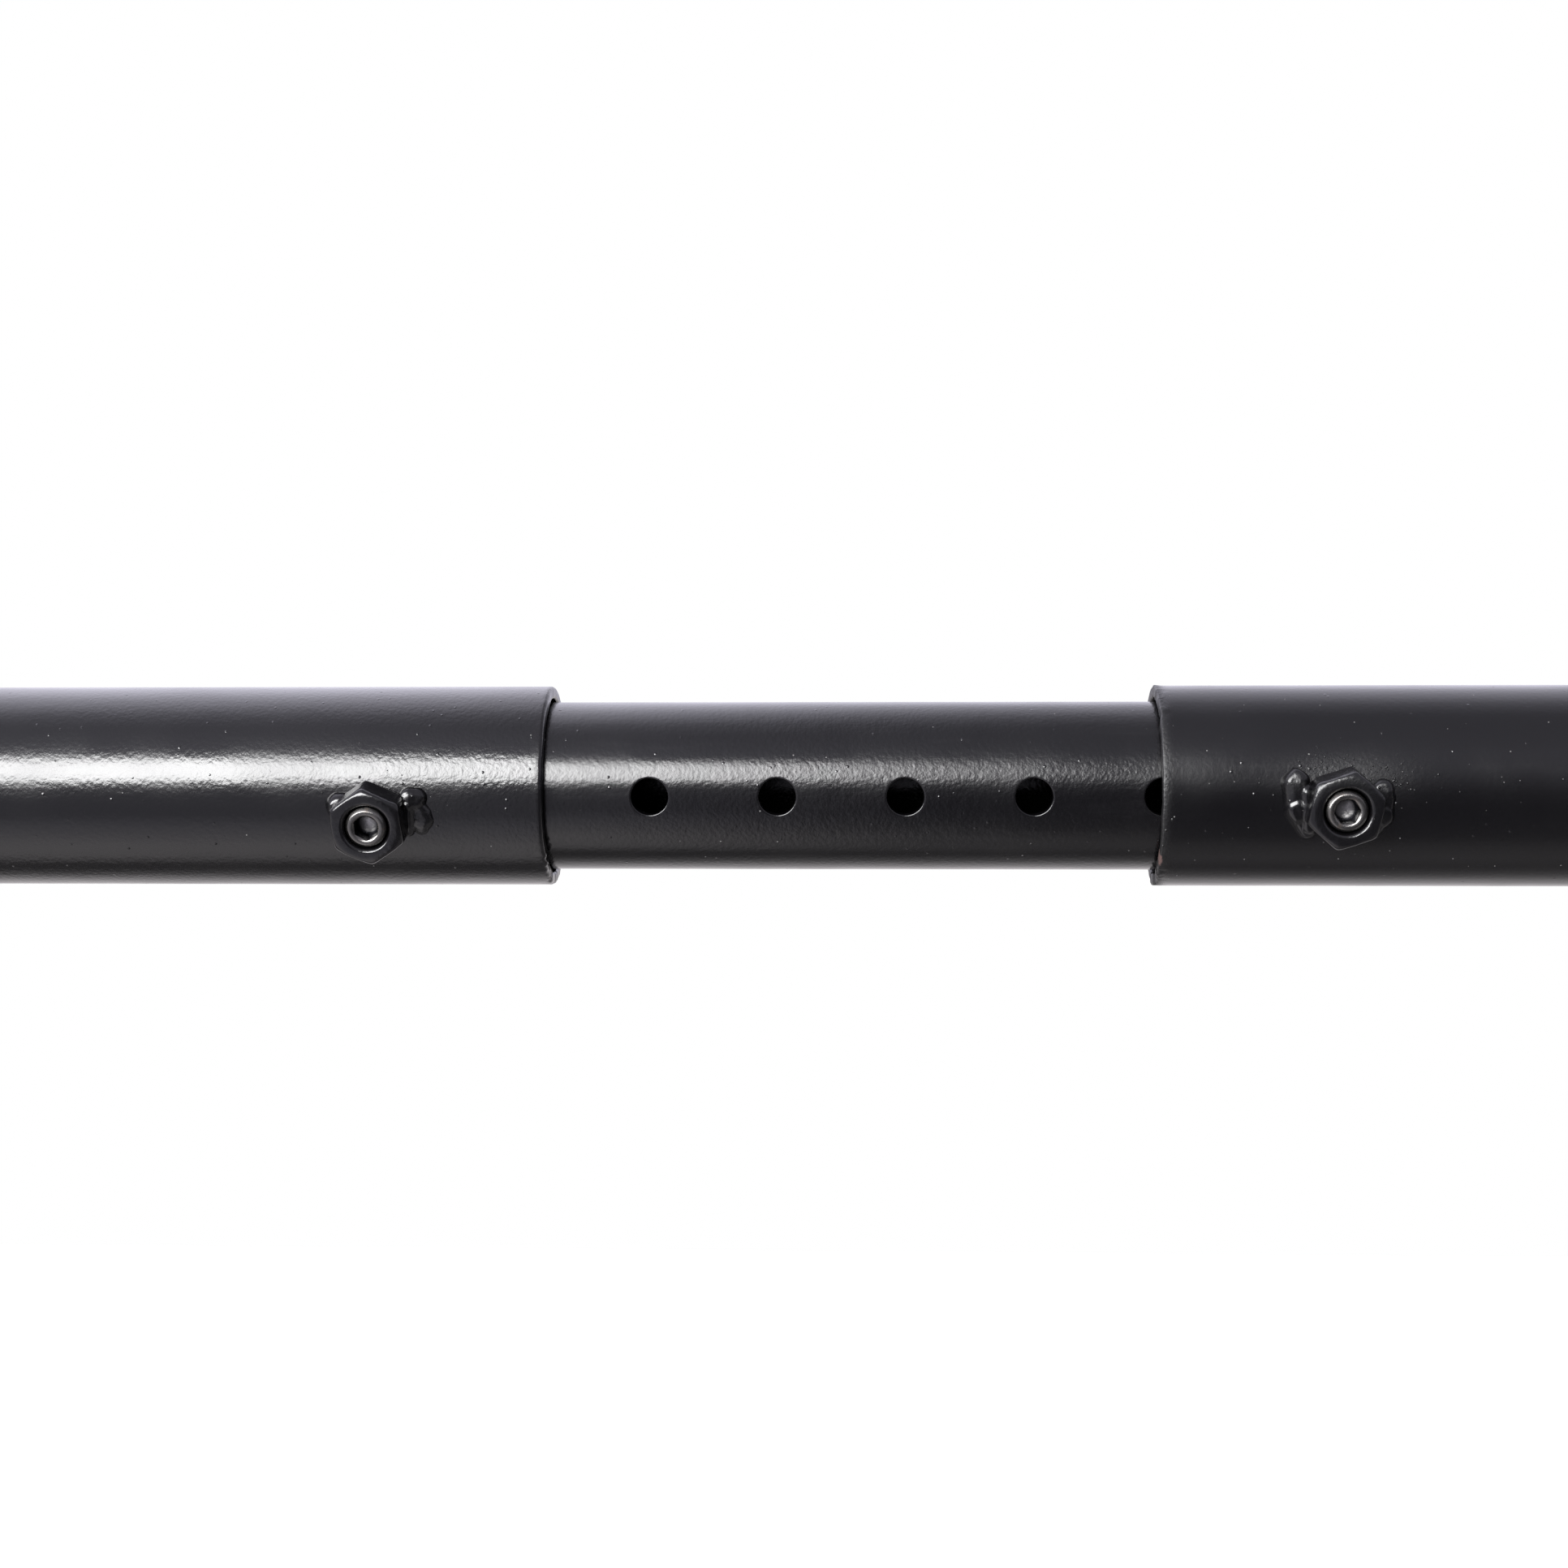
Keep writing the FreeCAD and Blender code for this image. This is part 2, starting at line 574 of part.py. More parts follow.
def shackle_bow(side, level):
    """The bow: a round rod bent to a bow, with an ear at each end and the pin's hole through both."""
    body = new_body(f"shackle_bow_{level.name}_{side.name}")
    level.place(side, body)
    leg_y = jaw_half + rod_r
    bend_r = size["bow_width"] / 2 + rod_r
    bend_z = size["bow_depth"] - size["bow_width"] / 2
    foot = V(leg_y.number, 0, 0)
    bend = V(0, bend_z.number, 0)
    reach = math.hypot(foot.x, bend.y)
    lean = math.acos(bend_r.number / reach) - math.atan2(bend.y, foot.x)
    touch = V(bend_r.number * math.cos(lean), bend.y + bend_r.number * math.sin(lean), 0)

    spine = new_sketch(body, f"bow_spine_{body.Name}", "YZ_Plane")
    right = spine.addGeometry(Part.LineSegment(foot, touch))
    crown = spine.addGeometry(
        Part.ArcOfCircle(Part.Circle(bend, V(0, 0, 1), bend_r.number), lean, math.pi - lean)
    )
    left = spine.addGeometry(Part.LineSegment(V(-touch.x, touch.y, 0), V(-foot.x, 0, 0)))
    spine.addConstraint(Sketcher.Constraint("Tangent", right, 2, crown, 1))
    spine.addConstraint(Sketcher.Constraint("Tangent", crown, 2, left, 1))
    fix_point(spine, right, 1, leg_y, 0)
    fix_point(spine, left, 2, -leg_y, 0)
    fix_point(spine, crown, 3, 0, bend_z)
    dimension(spine, "Radius", (crown,), bend_r)

    section = new_sketch(body, f"bow_section_{body.Name}", "XY_Plane")
    add_circle(section, rod_r, y=leg_y)
    rod = body.newObject("PartDesign::AdditivePipe", f"bow_rod_{body.Name}")
    rod.Profile = section
    rod.Spine = (spine, ["Edge1", "Edge2", "Edge3"])
    doc.recompute()

    for name, lift, backwards in (("near", jaw_half, False), ("far", -jaw_half, True)):
        ear = new_sketch(body, f"bow_ear_{name}_{body.Name}", "XZ_Plane", lift=lift)
        add_circle(ear, size["shackle_ear"] / 2)
        pad(body, ear, size["shackle_rod"], backwards=backwards)
    for name, lift, backwards in (("near", ear_out, True), ("far", -ear_out, False)):
        spot = new_sketch(body, f"bow_spot_{name}_{body.Name}", "XZ_Plane", lift=lift)
        add_circle(spot, size["collar_od"] / 2 + size["spot_face_gap"])
        pocket(body, spot, size["bow_width"], backwards=backwards)
    hole = new_sketch(body, f"bow_hole_{body.Name}", "XZ_Plane")
    add_circle(hole, pin_r + size["pin_gap"])
    pocket(body, hole, ear_out * 4, both_ways=True)


def shackle_pin(side, level):
    """The screw pin: a shank, a collar against the ear, and a flat eye for turning it."""
    body = new_body(f"shackle_pin_{level.name}_{side.name}")
    level.place(side, body, pin=True)
    seat = ear_out + size["collar_gap"]
    shank = new_sketch(body, f"pin_shank_{body.Name}", "XZ_Plane", lift=seat)
    add_circle(shank, pin_r)
    pad(body, shank, seat + ear_out + size["pin_proud"], backwards=True)
    collar = new_sketch(body, f"pin_collar_{body.Name}", "XZ_Plane", lift=seat)
    add_circle(collar, size["collar_od"] / 2)
    pad(body, collar, size["collar_width"])
    eye = new_sketch(body, f"pin_eye_{body.Name}", "YZ_Plane")
    centre_y = -(seat + size["collar_width"] + size["eye_radius"] - size["eye_sink"])
    add_circle(eye, size["eye_radius"], x=centre_y)
    pad(body, eye, size["eye_thickness"], both_ways=True)
    hole = new_sketch(body, f"pin_eye_hole_{body.Name}", "YZ_Plane")
    add_circle(hole, size["eye_bore"] / 2, x=centre_y)
    pocket(body, hole, size["eye_thickness"] * 2, both_ways=True)

    def end_rim(edge):
        shank_wide = edge.BoundBox.XLength > size["pin_od"].number * 0.9
        return edge.isClosed() and edge.BoundBox.YLength < 1e-4 and shank_wide

    round_edges(body, size["lug_edge"], end_rim)


# ---------------------------------------------------------------- where things go


class Side:
    """The left or right half of the beam. Its pieces are drawn with +X pointing away from the middle."""

    def __init__(self, name, sign):
        self.name, self.sign = name, sign
        self.nut_angle = size[f"nut_angle_{name}"]
        self.nut_setback = size[f"nut_setback_{name}"]
        self.hex_turn = size[f"hex_turn_{name}"]
        self.socket_turn = size[f"socket_turn_{name}"]
        self.turn = 0 if sign > 0 else 180
        self.local_angle = self.nut_angle if sign > 0 else 180 - self.nut_angle

    def place(self, thing, x):
        place(thing, x=self.sign * x, axis=UP, angle=self.turn)

    def place_radially(self, thing, radius):
        """Stands a piece on the beam's axis line at the nut, with its +Z pointing out through the nut."""
        place(thing, x=self.sign * (mouth_x + self.nut_setback), y=-radius * cosine(self.nut_angle),
              z=-radius * sine(self.nut_angle), axis=ALONG, angle=90 + self.nut_angle)


class Level:
    """The upper or lower shackles. Pin heads face the front on the left and the back on the right."""

    def __init__(self, name, sign):
        self.name, self.sign = name, sign

    def place(self, side, thing, pin=False):
        x = side.sign * (end_x - size["ear_inset"])
        z = self.sign * ear_height
        if pin:
            place(thing, x=x, z=z, axis=UP, angle=0 if side.sign < 0 else 180)
        else:
            place(thing, x=x, z=z, axis=ALONG, angle=0 if self.sign > 0 else 180)


def check_and_write():
    """Makes sure that every object and shape is sound, then writes one STEP file for each sub-part."""
    doc.recompute()
    for thing in doc.Objects:
        if "Invalid" in thing.State or "Error" in thing.State:
            raise RuntimeError(f"{thing.Label} failed: {thing.State}")
    os.makedirs("parts", exist_ok=True)
    for thing in parts:
        shape = thing.Shape
        if shape.isNull() or not shape.isValid() or not shape.Solids:
            raise RuntimeError(f"{thing.Label} has no sound shape")
        shape.exportStep(os.path.join("parts", f"{thing.Label}.step"))
        box = shape.BoundBox
        print(f"{thing.Label:28s} {len(shape.Solids)} solids {shape.Volume:10.1f} mm3"
              f"  x {box.XMin:.1f}..{box.XMax:.1f}  y {box.YMin:.1f}..{box.YMax:.1f}"
              f"  z {box.ZMin:.1f}..{box.ZMax:.1f}")


inner_tube()
for side in (Side("left", -1), Side("right", 1)):
    for make in (outer_tube, weld_nut, nut_weld, set_screw, lug_plate, lug_weld, end_cap, cap_weld):
        make(side)
    for level in (Level("top", 1), Level("bottom", -1)):
        shackle_bow(side, level)
        shackle_pin(side, level)
check_and_write()
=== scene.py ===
import json
import math
import bmesh
import bpy
import numpy as np
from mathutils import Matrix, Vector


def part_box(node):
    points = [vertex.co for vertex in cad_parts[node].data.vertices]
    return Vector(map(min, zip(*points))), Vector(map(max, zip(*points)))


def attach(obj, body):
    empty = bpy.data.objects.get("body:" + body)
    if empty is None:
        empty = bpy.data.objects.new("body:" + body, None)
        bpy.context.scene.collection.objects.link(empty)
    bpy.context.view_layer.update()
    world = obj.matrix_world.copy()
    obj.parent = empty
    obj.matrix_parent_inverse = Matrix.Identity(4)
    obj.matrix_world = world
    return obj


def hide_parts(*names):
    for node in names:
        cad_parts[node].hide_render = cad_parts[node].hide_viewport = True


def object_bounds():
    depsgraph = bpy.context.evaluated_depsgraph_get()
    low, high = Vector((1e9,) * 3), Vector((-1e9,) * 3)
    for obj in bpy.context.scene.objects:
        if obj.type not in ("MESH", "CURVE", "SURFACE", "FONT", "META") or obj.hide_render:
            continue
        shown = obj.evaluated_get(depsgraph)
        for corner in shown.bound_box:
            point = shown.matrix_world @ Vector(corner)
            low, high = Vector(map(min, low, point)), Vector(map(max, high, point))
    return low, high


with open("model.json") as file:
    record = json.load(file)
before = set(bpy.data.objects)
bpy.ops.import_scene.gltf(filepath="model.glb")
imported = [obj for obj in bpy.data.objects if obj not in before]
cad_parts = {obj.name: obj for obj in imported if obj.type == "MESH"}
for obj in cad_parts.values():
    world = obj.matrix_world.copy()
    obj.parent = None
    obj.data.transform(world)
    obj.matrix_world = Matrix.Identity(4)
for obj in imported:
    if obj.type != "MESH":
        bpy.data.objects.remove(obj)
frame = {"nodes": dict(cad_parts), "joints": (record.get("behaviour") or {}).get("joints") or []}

mm = 0.001
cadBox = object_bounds()
joints = {joint["name"]: joint for joint in frame["joints"]}
print("frame loaded")


# Shader tools

class Value:
    # Wraps one shader socket, so that shader maths reads as plain arithmetic.
    def __init__(self, finish, socket):
        self.finish, self.socket = finish, socket

    def reckon(self, operation, *others):
        sockets = dict(enumerate([self, *others]))
        return self.finish.node("Math", {"operation": operation}, sockets)

    def __add__(self, other):
        return self.reckon("ADD", other)

    def __sub__(self, other):
        return self.reckon("SUBTRACT", other)

    def __mul__(self, other):
        return self.reckon("MULTIPLY", other)

    def __truediv__(self, other):
        return self.reckon("DIVIDE", other)

    def __rsub__(self, other):
        return self * -1 + other

    __radd__, __rmul__ = __add__, __mul__

    def between(self, low, high, settings=None):  # 0 below low, 1 above high, an even rise in between
        sockets = {"Value": self, 1: low, 2: high, 3: 0.0, 4: 1.0}
        return self.finish.node("MapRange", settings, sockets)

    def smoothly(self, low, high):  # the same with a soft start and end
        return self.between(low, high, {"interpolation_type": "SMOOTHSTEP"})


class Finish:
    # A node tree in the making. Every node comes from node(): its type, its settings, then values or links.
    def __init__(self, owner):
        owner.use_nodes = True
        self.owner, self.tree = owner, owner.node_tree
        self.tree.nodes.clear()

    def node(self, kind, settings=None, sockets=None, out=0):
        made = self.tree.nodes.new("ShaderNode" + kind)
        for key, value in (settings or {}).items():
            if key == "stops":
                self.setStops(made.color_ramp, value)
            else:
                setattr(made, key, value)
        for key, value in (sockets or {}).items():
            if isinstance(value, Value):
                self.tree.links.new(value.socket, made.inputs[key])
            else:
                made.inputs[key].default_value = value
        return Value(self, made.outputs[out]) if made.outputs else None

    def setStops(self, ramp, stops):
        while len(ramp.elements) < len(stops):
            ramp.elements.new(1.0)
        for element, (position, level) in zip(ramp.elements, stops):
            element.position = position
            element.color = (level, level, level, 1.0)

    def noise(self, place, scale, detail=2.0, roughness=0.5):
        sockets = {"Vector": place, "Scale": scale, "Detail": detail, "Roughness": roughness}
        return self.node("TexNoise", {}, sockets)

    def cells(self, place, scale, out=0):  # distance from the nearest cell's middle, or by out=1 its colour
        return self.node("TexVoronoi", {}, {"Vector": place, "Scale": scale}, out=out)

    def channel(self, colour, out=0):  # one channel of a colour as a number
        return self.node("SeparateColor", {}, {"Color": colour}, out=out)

    def mark(self, name):  # a number kept on the mesh's points
        return self.node("Attribute", {"attribute_name": name}, out=2)

    def blend(self, factor, first, second):
        return self.node("Mix", {"data_type": "RGBA"}, {0: factor, 6: first, 7: second}, out=2)

    def bump(self, height, depth, normal=None):
        sockets = {"Height": height, "Distance": depth, "Strength": 1.0}
        if normal is not None:
            sockets["Normal"] = normal
        return self.node("Bump", {}, sockets)

    def surface(self, **sockets):
        named = {key.replace("_", " "): value for key, value in sockets.items()}
        self.node("OutputMaterial", {}, {"Surface": self.node("BsdfPrincipled", {}, named)})
        return self.owner


# Finishes

coatLook = {  # scales are per metre, depths in metres, and an edge is where a pattern starts and is full
    "colour": (0.0015, 0.0014, 0.0017, 1.0), "gloss": 0.16,
    "dullScale": 34.0, "dullEdge": (0.42, 0.68), "dullGloss": 0.07,
    "peelScale": 950.0, "peelDepth": 0.000085,
    "calmScale": 22.0, "calmEdge": (0.35, 0.65), "calmest": 0.65,  # broad patches of shallower peel
    "rippleScale": 170.0, "rippleDepth": 0.000045,
    "pimpleScale": 360.0, "pimpleSize": 0.15, "pimpleDepth": 0.00011, "pimplePicked": (0.68, 0.70),
    "pimplesByWelds": 0.4,
    "dustScale": 500.0, "dustEdge": (0.06, 0.125), "dustSizes": 0.07, "dustPicked": 0.02,
    "dustColour": (0.125, 0.123, 0.118, 1.0), "dustCover": 0.7, "dustGloss": 0.3,
    "gritScale": 1200.0, "gritDepth": 0.00009, "gritGloss": 0.14,
    "rubScale": 260.0, "rubStretch": (0.12, 1.0, 1.0), "rubEdge": (0.50, 0.72),
    "rubColour": (0.02, 0.02, 0.021, 1.0), "rubGloss": 0.35, "rubLeast": 0.03,
    "bareScale": 1400.0, "bareRagged": 0.8, "bareEdge": (0.35, 0.55),
    "bareColour": (0.045, 0.022, 0.018, 1.0), "bareGloss": 0.3,
}


def blackCoat(name, look, peel=1.0, worn=0.0, dusted=0.08, scuffed=None):
    # Black powder coat. Height: a sum of long ripples, orange peel, round pimples, and grit by the mark
    # roughPatch. Colour: the coat's, then specks of dust, streaky rubs, and brown metal where noise plus the
    # mark bare is high. The function scuffed changes colour, roughness and metal on top.
    coat = Finish(bpy.data.materials.new(name))
    place = coat.node("TexCoord", out=3)
    rough, bare = coat.mark("roughPatch"), coat.mark("bare")
    chance = coat.channel(coat.cells(place, look["pimpleScale"], out=1))
    picked = (chance + rough * look["pimplesByWelds"]).between(*look["pimplePicked"])
    domes = 1 - coat.cells(place, look["pimpleScale"]).smoothly(0.0, look["pimpleSize"])
    pimples = domes * picked * (rough + 1)
    rubPlace = coat.node("Mapping", {}, {"Vector": place, "Scale": look["rubStretch"]})
    rubs = coat.noise(rubPlace, look["rubScale"], 5.0, 0.65).smoothly(*look["rubEdge"])
    dull = coat.noise(place, look["dullScale"], 4.0).smoothly(*look["dullEdge"])
    dustCell = coat.cells(place, look["dustScale"], out=1)
    dustPicked = coat.channel(dustCell).between(1 - dusted, 1 + look["dustPicked"] - dusted)
    dustAway = coat.cells(place, look["dustScale"]) + coat.channel(dustCell, out=1) * look["dustSizes"]
    dusty = (1 - dustAway.smoothly(*look["dustEdge"])) * dustPicked
    ragged = coat.noise(place, look["bareScale"], 3.0) * look["bareRagged"]
    bared = (bare + ragged - look["bareRagged"] / 2).smoothly(*look["bareEdge"])
    colour = coat.blend(dusty * look["dustCover"], look["colour"], look["dustColour"])
    colour = coat.blend(rubs * worn, colour, look["rubColour"])
    colour = coat.blend(bared, colour, look["bareColour"])
    roughness = dull * look["dullGloss"] + rubs * (worn * look["rubGloss"] + look["rubLeast"])
    roughness = roughness + dusty * look["dustGloss"] + bared * look["bareGloss"]
    roughness = roughness + rough * look["gritGloss"] + look["gloss"]
    calm = coat.noise(place, look["calmScale"], 2.0).smoothly(*look["calmEdge"])
    calm = calm * (1 - look["calmest"]) + look["calmest"]
    normal = coat.bump(coat.noise(place, look["rippleScale"], 1.0), look["rippleDepth"] * peel)
    normal = coat.bump(coat.noise(place, look["peelScale"], 2.0) * calm, look["peelDepth"] * peel, normal)
    normal = coat.bump(pimples, look["pimpleDepth"], normal)
    normal = coat.bump(coat.noise(place, look["gritScale"], 3.0) * rough, look["gritDepth"], normal)
    metal = 0.0
    if scuffed:
        colour, roughness, metal = scuffed(coat, place, colour, roughness)
    return coat.surface(Base_Color=colour, Metallic=metal, Roughness=roughness, Normal=normal, IOR=1.5)


steelLook = {
    "colour": (0.15, 0.145, 0.139, 1.0), "gloss": 0.21,
    "stain": (0.09, 0.066, 0.050, 1.0), "stainScale": 420.0, "stainEdge": (0.52, 0.75), "stainCover": 0.75,
    # the last colour on the next line is painted shade, laid down the socket and round the threads
    "stainGloss": 0.15, "grime": (0.006, 0.006, 0.007, 1.0),
    # the first colour on the next line is a painted highlight on the drill's cone
    "drilled": (0.5, 0.49, 0.48, 1.0), "drilledGloss": 0.12,
    "ringScale": 5.2, "ringDepth": 0.000012, "ringGloss": 0.12,  # rings in a tenth of a millimetre
    "dentScale": 1500.0, "dentDepth": 0.00003,
}


def turnedSteel(name, look):
    # Bare turned steel. Height: noise of the distance from the screw's axis makes rings, and fine noise
    # makes dents. Colour: the steel's, then brown stains, painted shade down the socket and round the
    # threads, and a painted highlight on the drill's cone.
    steel = Finish(bpy.data.materials.new(name))
    place = steel.node("TexCoord", out=3)
    drilled = steel.mark("drilled")
    rings = steel.noise(steel.node("CombineXYZ", {}, {0: steel.mark("fromAxis")}), look["ringScale"], 3.0)
    stains = steel.noise(place, look["stainScale"], 4.0, 0.6).smoothly(*look["stainEdge"])
    colour = steel.blend(stains * look["stainCover"], look["colour"], look["stain"])
    # painted shade: near black down the socket and round the threads
    colour = steel.blend(steel.mark("grime"), colour, look["grime"])
    # painted highlight: a light colour on the drill's cone
    colour = steel.blend(drilled, colour, look["drilled"])
    roughness = rings * look["ringGloss"] + stains * look["stainGloss"] + look["gloss"]
    roughness = roughness - drilled * look["drilledGloss"]
    normal = steel.bump(rings, look["ringDepth"])
    normal = steel.bump(steel.noise(place, look["dentScale"], 2.0), look["dentDepth"], normal)
    return steel.surface(Base_Color=colour, Metallic=1.0, Roughness=roughness, Normal=normal)


zincLook = {
    "light": (0.27, 0.275, 0.28, 1.0), "dark": (0.15, 0.155, 0.165, 1.0), "metal": 0.9, "gloss": 0.28,
    "spangleScale": 190.0, "spangleShade": 0.45, "spangleGloss": 0.10,
    "cloudScale": 60.0, "cloudEdge": (0.40, 0.70), "cloudShade": 0.55, "cloudGloss": 0.22,
    "castScale": 240.0, "castDepth": 0.00016, "grainScale": 1500.0, "grainDepth": 0.00004,
}


def hotZinc(name, look):
    # Hot-dip zinc on forged steel. Its grey goes from light to dark by the sum of spangle cells and dull
    # clouds. Height: a cast unevenness under a fine grain, both noise.
    zinc = Finish(bpy.data.materials.new(name))
    place = zinc.node("TexCoord", out=3)
    spangle = zinc.channel(zinc.cells(place, look["spangleScale"], out=1))
    cloud = zinc.noise(place, look["cloudScale"], 5.0, 0.6).smoothly(*look["cloudEdge"])
    shade = spangle * look["spangleShade"] + cloud * look["cloudShade"]
    colour = zinc.blend(shade, look["light"], look["dark"])
    roughness = spangle * look["spangleGloss"] + cloud * look["cloudGloss"] + look["gloss"]
    normal = zinc.bump(zinc.noise(place, look["castScale"], 3.0), look["castDepth"])
    normal = zinc.bump(zinc.noise(place, look["grainScale"], 2.0), look["grainDepth"], normal)
    return zinc.surface(Base_Color=colour, Metallic=look["metal"], Roughness=roughness, Normal=normal)


outerCoats = {
    "left": blackCoat("outerCoatLeft", coatLook, peel=0.88, dusted=0.04),
    "right": blackCoat("outerCoatRight", coatLook, peel=0.38, dusted=0.34),
}
innerCoat = blackCoat("innerCoat", coatLook, peel=0.7, worn=0.03, dusted=0.10)
weldCoat = blackCoat("weldCoat", coatLook, peel=0.8)
screwSteel = turnedSteel("screwSteel", steelLook)
zinc = hotZinc("zinc", zincLook)
print("finishes made")


# Shape tools

def softNoise(points, scale, seed, waves=16):
    # A sum of sine waves in random directions, each about scale long. It is smooth, and mostly from -1 to 1.
    chance = np.random.default_rng(seed)
    heading = chance.normal(size=(3, waves))
    heading *= 2 * np.pi / scale * chance.uniform(0.6, 1.6, waves) / np.linalg.norm(heading, axis=0)
    return np.sin(points @ heading + chance.uniform(0, 2 * np.pi, waves)).mean(-1) * 2.4


def divide(stops, step):
    # Places from the first stop to the last, about one step apart, with every stop among them.
    spans = [np.linspace(a, b, max(2, round(abs(b - a) / step) + 1))[:-1] for a, b in zip(stops, stops[1:])]
    return np.concatenate(spans + [[stops[-1]]])


class Skin:
    # Gathers grids of points in millimetres, then joins them into one closed mesh.
    def __init__(self):
        self.points, self.faces, self.count = [], [], 0

    def take(self, points, faces):
        self.points.append(points.reshape(-1, 3))
        self.faces.append(faces + self.count)
        self.count += points.size // 3

    def grid(self, points, keep=None, wrap=False):  # a face for each four neighbours, where keep is true
        rows, columns = points.shape[:2]
        index = np.arange(rows * columns).reshape(rows, columns)
        if wrap:
            index = np.hstack([index, index[:, :1]])
        faces = np.stack([index[:-1, :-1], index[:-1, 1:], index[1:, 1:], index[1:, :-1]], -1)
        self.take(points, faces[keep] if keep is not None else faces.reshape(-1, 4))

    def quads(self, corners):  # a face for each four points in turn
        self.take(corners, np.arange(corners.size // 3).reshape(-1, 4))

    def build(self, name, finish, marks=None, sharp=55.0, closer=3e-6):
        # Points nearer than closer, in metres, become one. Edges above the angle sharp stay sharp. Each mark
        # is a function from points in millimetres to a number for each.
        points, faces = np.concatenate(self.points) * mm, np.concatenate(self.faces)
        mesh = bpy.data.meshes.new(name)
        mesh.vertices.add(len(points))
        mesh.vertices.foreach_set("co", points.ravel())
        mesh.loops.add(faces.size)
        mesh.loops.foreach_set("vertex_index", faces.ravel().astype(np.int32))
        mesh.polygons.add(len(faces))
        mesh.polygons.foreach_set("loop_start", np.arange(0, faces.size, 4, dtype=np.int32))
        mesh.update(calc_edges=True)
        joined = bmesh.new()
        joined.from_mesh(mesh)
        bmesh.ops.remove_doubles(joined, verts=joined.verts, dist=closer)
        bmesh.ops.recalc_face_normals(joined, faces=joined.faces)
        joined.to_mesh(mesh)
        joined.free()
        mesh.polygons.foreach_set("use_smooth", np.ones(len(mesh.polygons), bool))
        mesh.set_sharp_from_angle(angle=math.radians(sharp))
        places = np.empty(len(mesh.vertices) * 3)
        mesh.vertices.foreach_get("co", places)
        for mark, reckon in (marks or {}).items():
            values = reckon(places.reshape(-1, 3) / mm)
            mesh.attributes.new(mark, "FLOAT", "POINT").data.foreach_set("value", values.astype(np.float32))
        mesh.materials.append(finish)
        piece = bpy.data.objects.new(name, mesh)
        bpy.context.scene.collection.objects.link(piece)
        print(name, len(mesh.polygons), "faces")
        return piece


def standFor(piece, body, slot, *nodes):
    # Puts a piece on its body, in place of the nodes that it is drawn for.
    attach(piece, body)
    if nodes:
        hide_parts(*nodes)


class Side:
    # One half of the beam: its sign along X, where its mouth and end are, and where its nut stands.
    def __init__(self, name, sign):
        self.name, self.sign = name, sign
        self.body = f"{name}_outer"
        low, high = (np.array(corner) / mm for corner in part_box(f"outer_tube_{name}"))
        self.mouth, self.end = sorted((low[0], high[0]), key=abs)
        self.radius = (high[2] - low[2]) / 2
        screwLow, screwHigh = (np.array(corner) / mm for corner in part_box(f"set_screw_{name}"))
        self.nutX = (screwLow[0] + screwHigh[0]) / 2
        # The nut's own axes: along the beam, up the tube, and outwards.
        out = np.array(joints[f"{name}_screw_travel"]["axis"])
        self.nutAngle = math.atan2(out[2], -out[1])
        self.axes = np.array([(1, 0, 0), np.cross(out, (1, 0, 0)), out])

    def fromNut(self, local, lift):
        # Points given along, up and outwards from a spot on the nut's axis, which is lift from the beam's.
        return local @ self.axes + np.array([self.nutX, 0, 0]) + self.axes[2] * lift

    def toNut(self, points):
        # The way back: each point's distance from the nut's axis, and from the beam's axis outwards.
        local = (points - np.array([self.nutX, 0, 0])) @ self.axes.T
        return np.hypot(local[:, 0], local[:, 1]), local[:, 2]

    def onTube(self, along, up, height):
        # Points on the tube round the nut: along the beam, up round the tube, and proud of its surface.
        angle = self.nutAngle + up / self.radius
        reach = self.radius + height
        return np.stack([self.nutX + along, -reach * np.cos(angle), reach * np.sin(angle)], -1)

    def upFromNut(self, points):
        # How far up round the tube each point is from the nut's axis: the angle between them by the radius.
        return (turnOf(points) - self.nutAngle) * self.radius

    def fromMouth(self, points):
        return self.sign * (points[:, 0] - self.mouth)


def turnOf(points):
    # Each point's angle round the beam's axis, 0 at the front and a quarter turn at the top.
    return np.arctan2(points[:, 2], -points[:, 1])


sides = [Side("left", -1), Side("right", 1)]


# Tubes

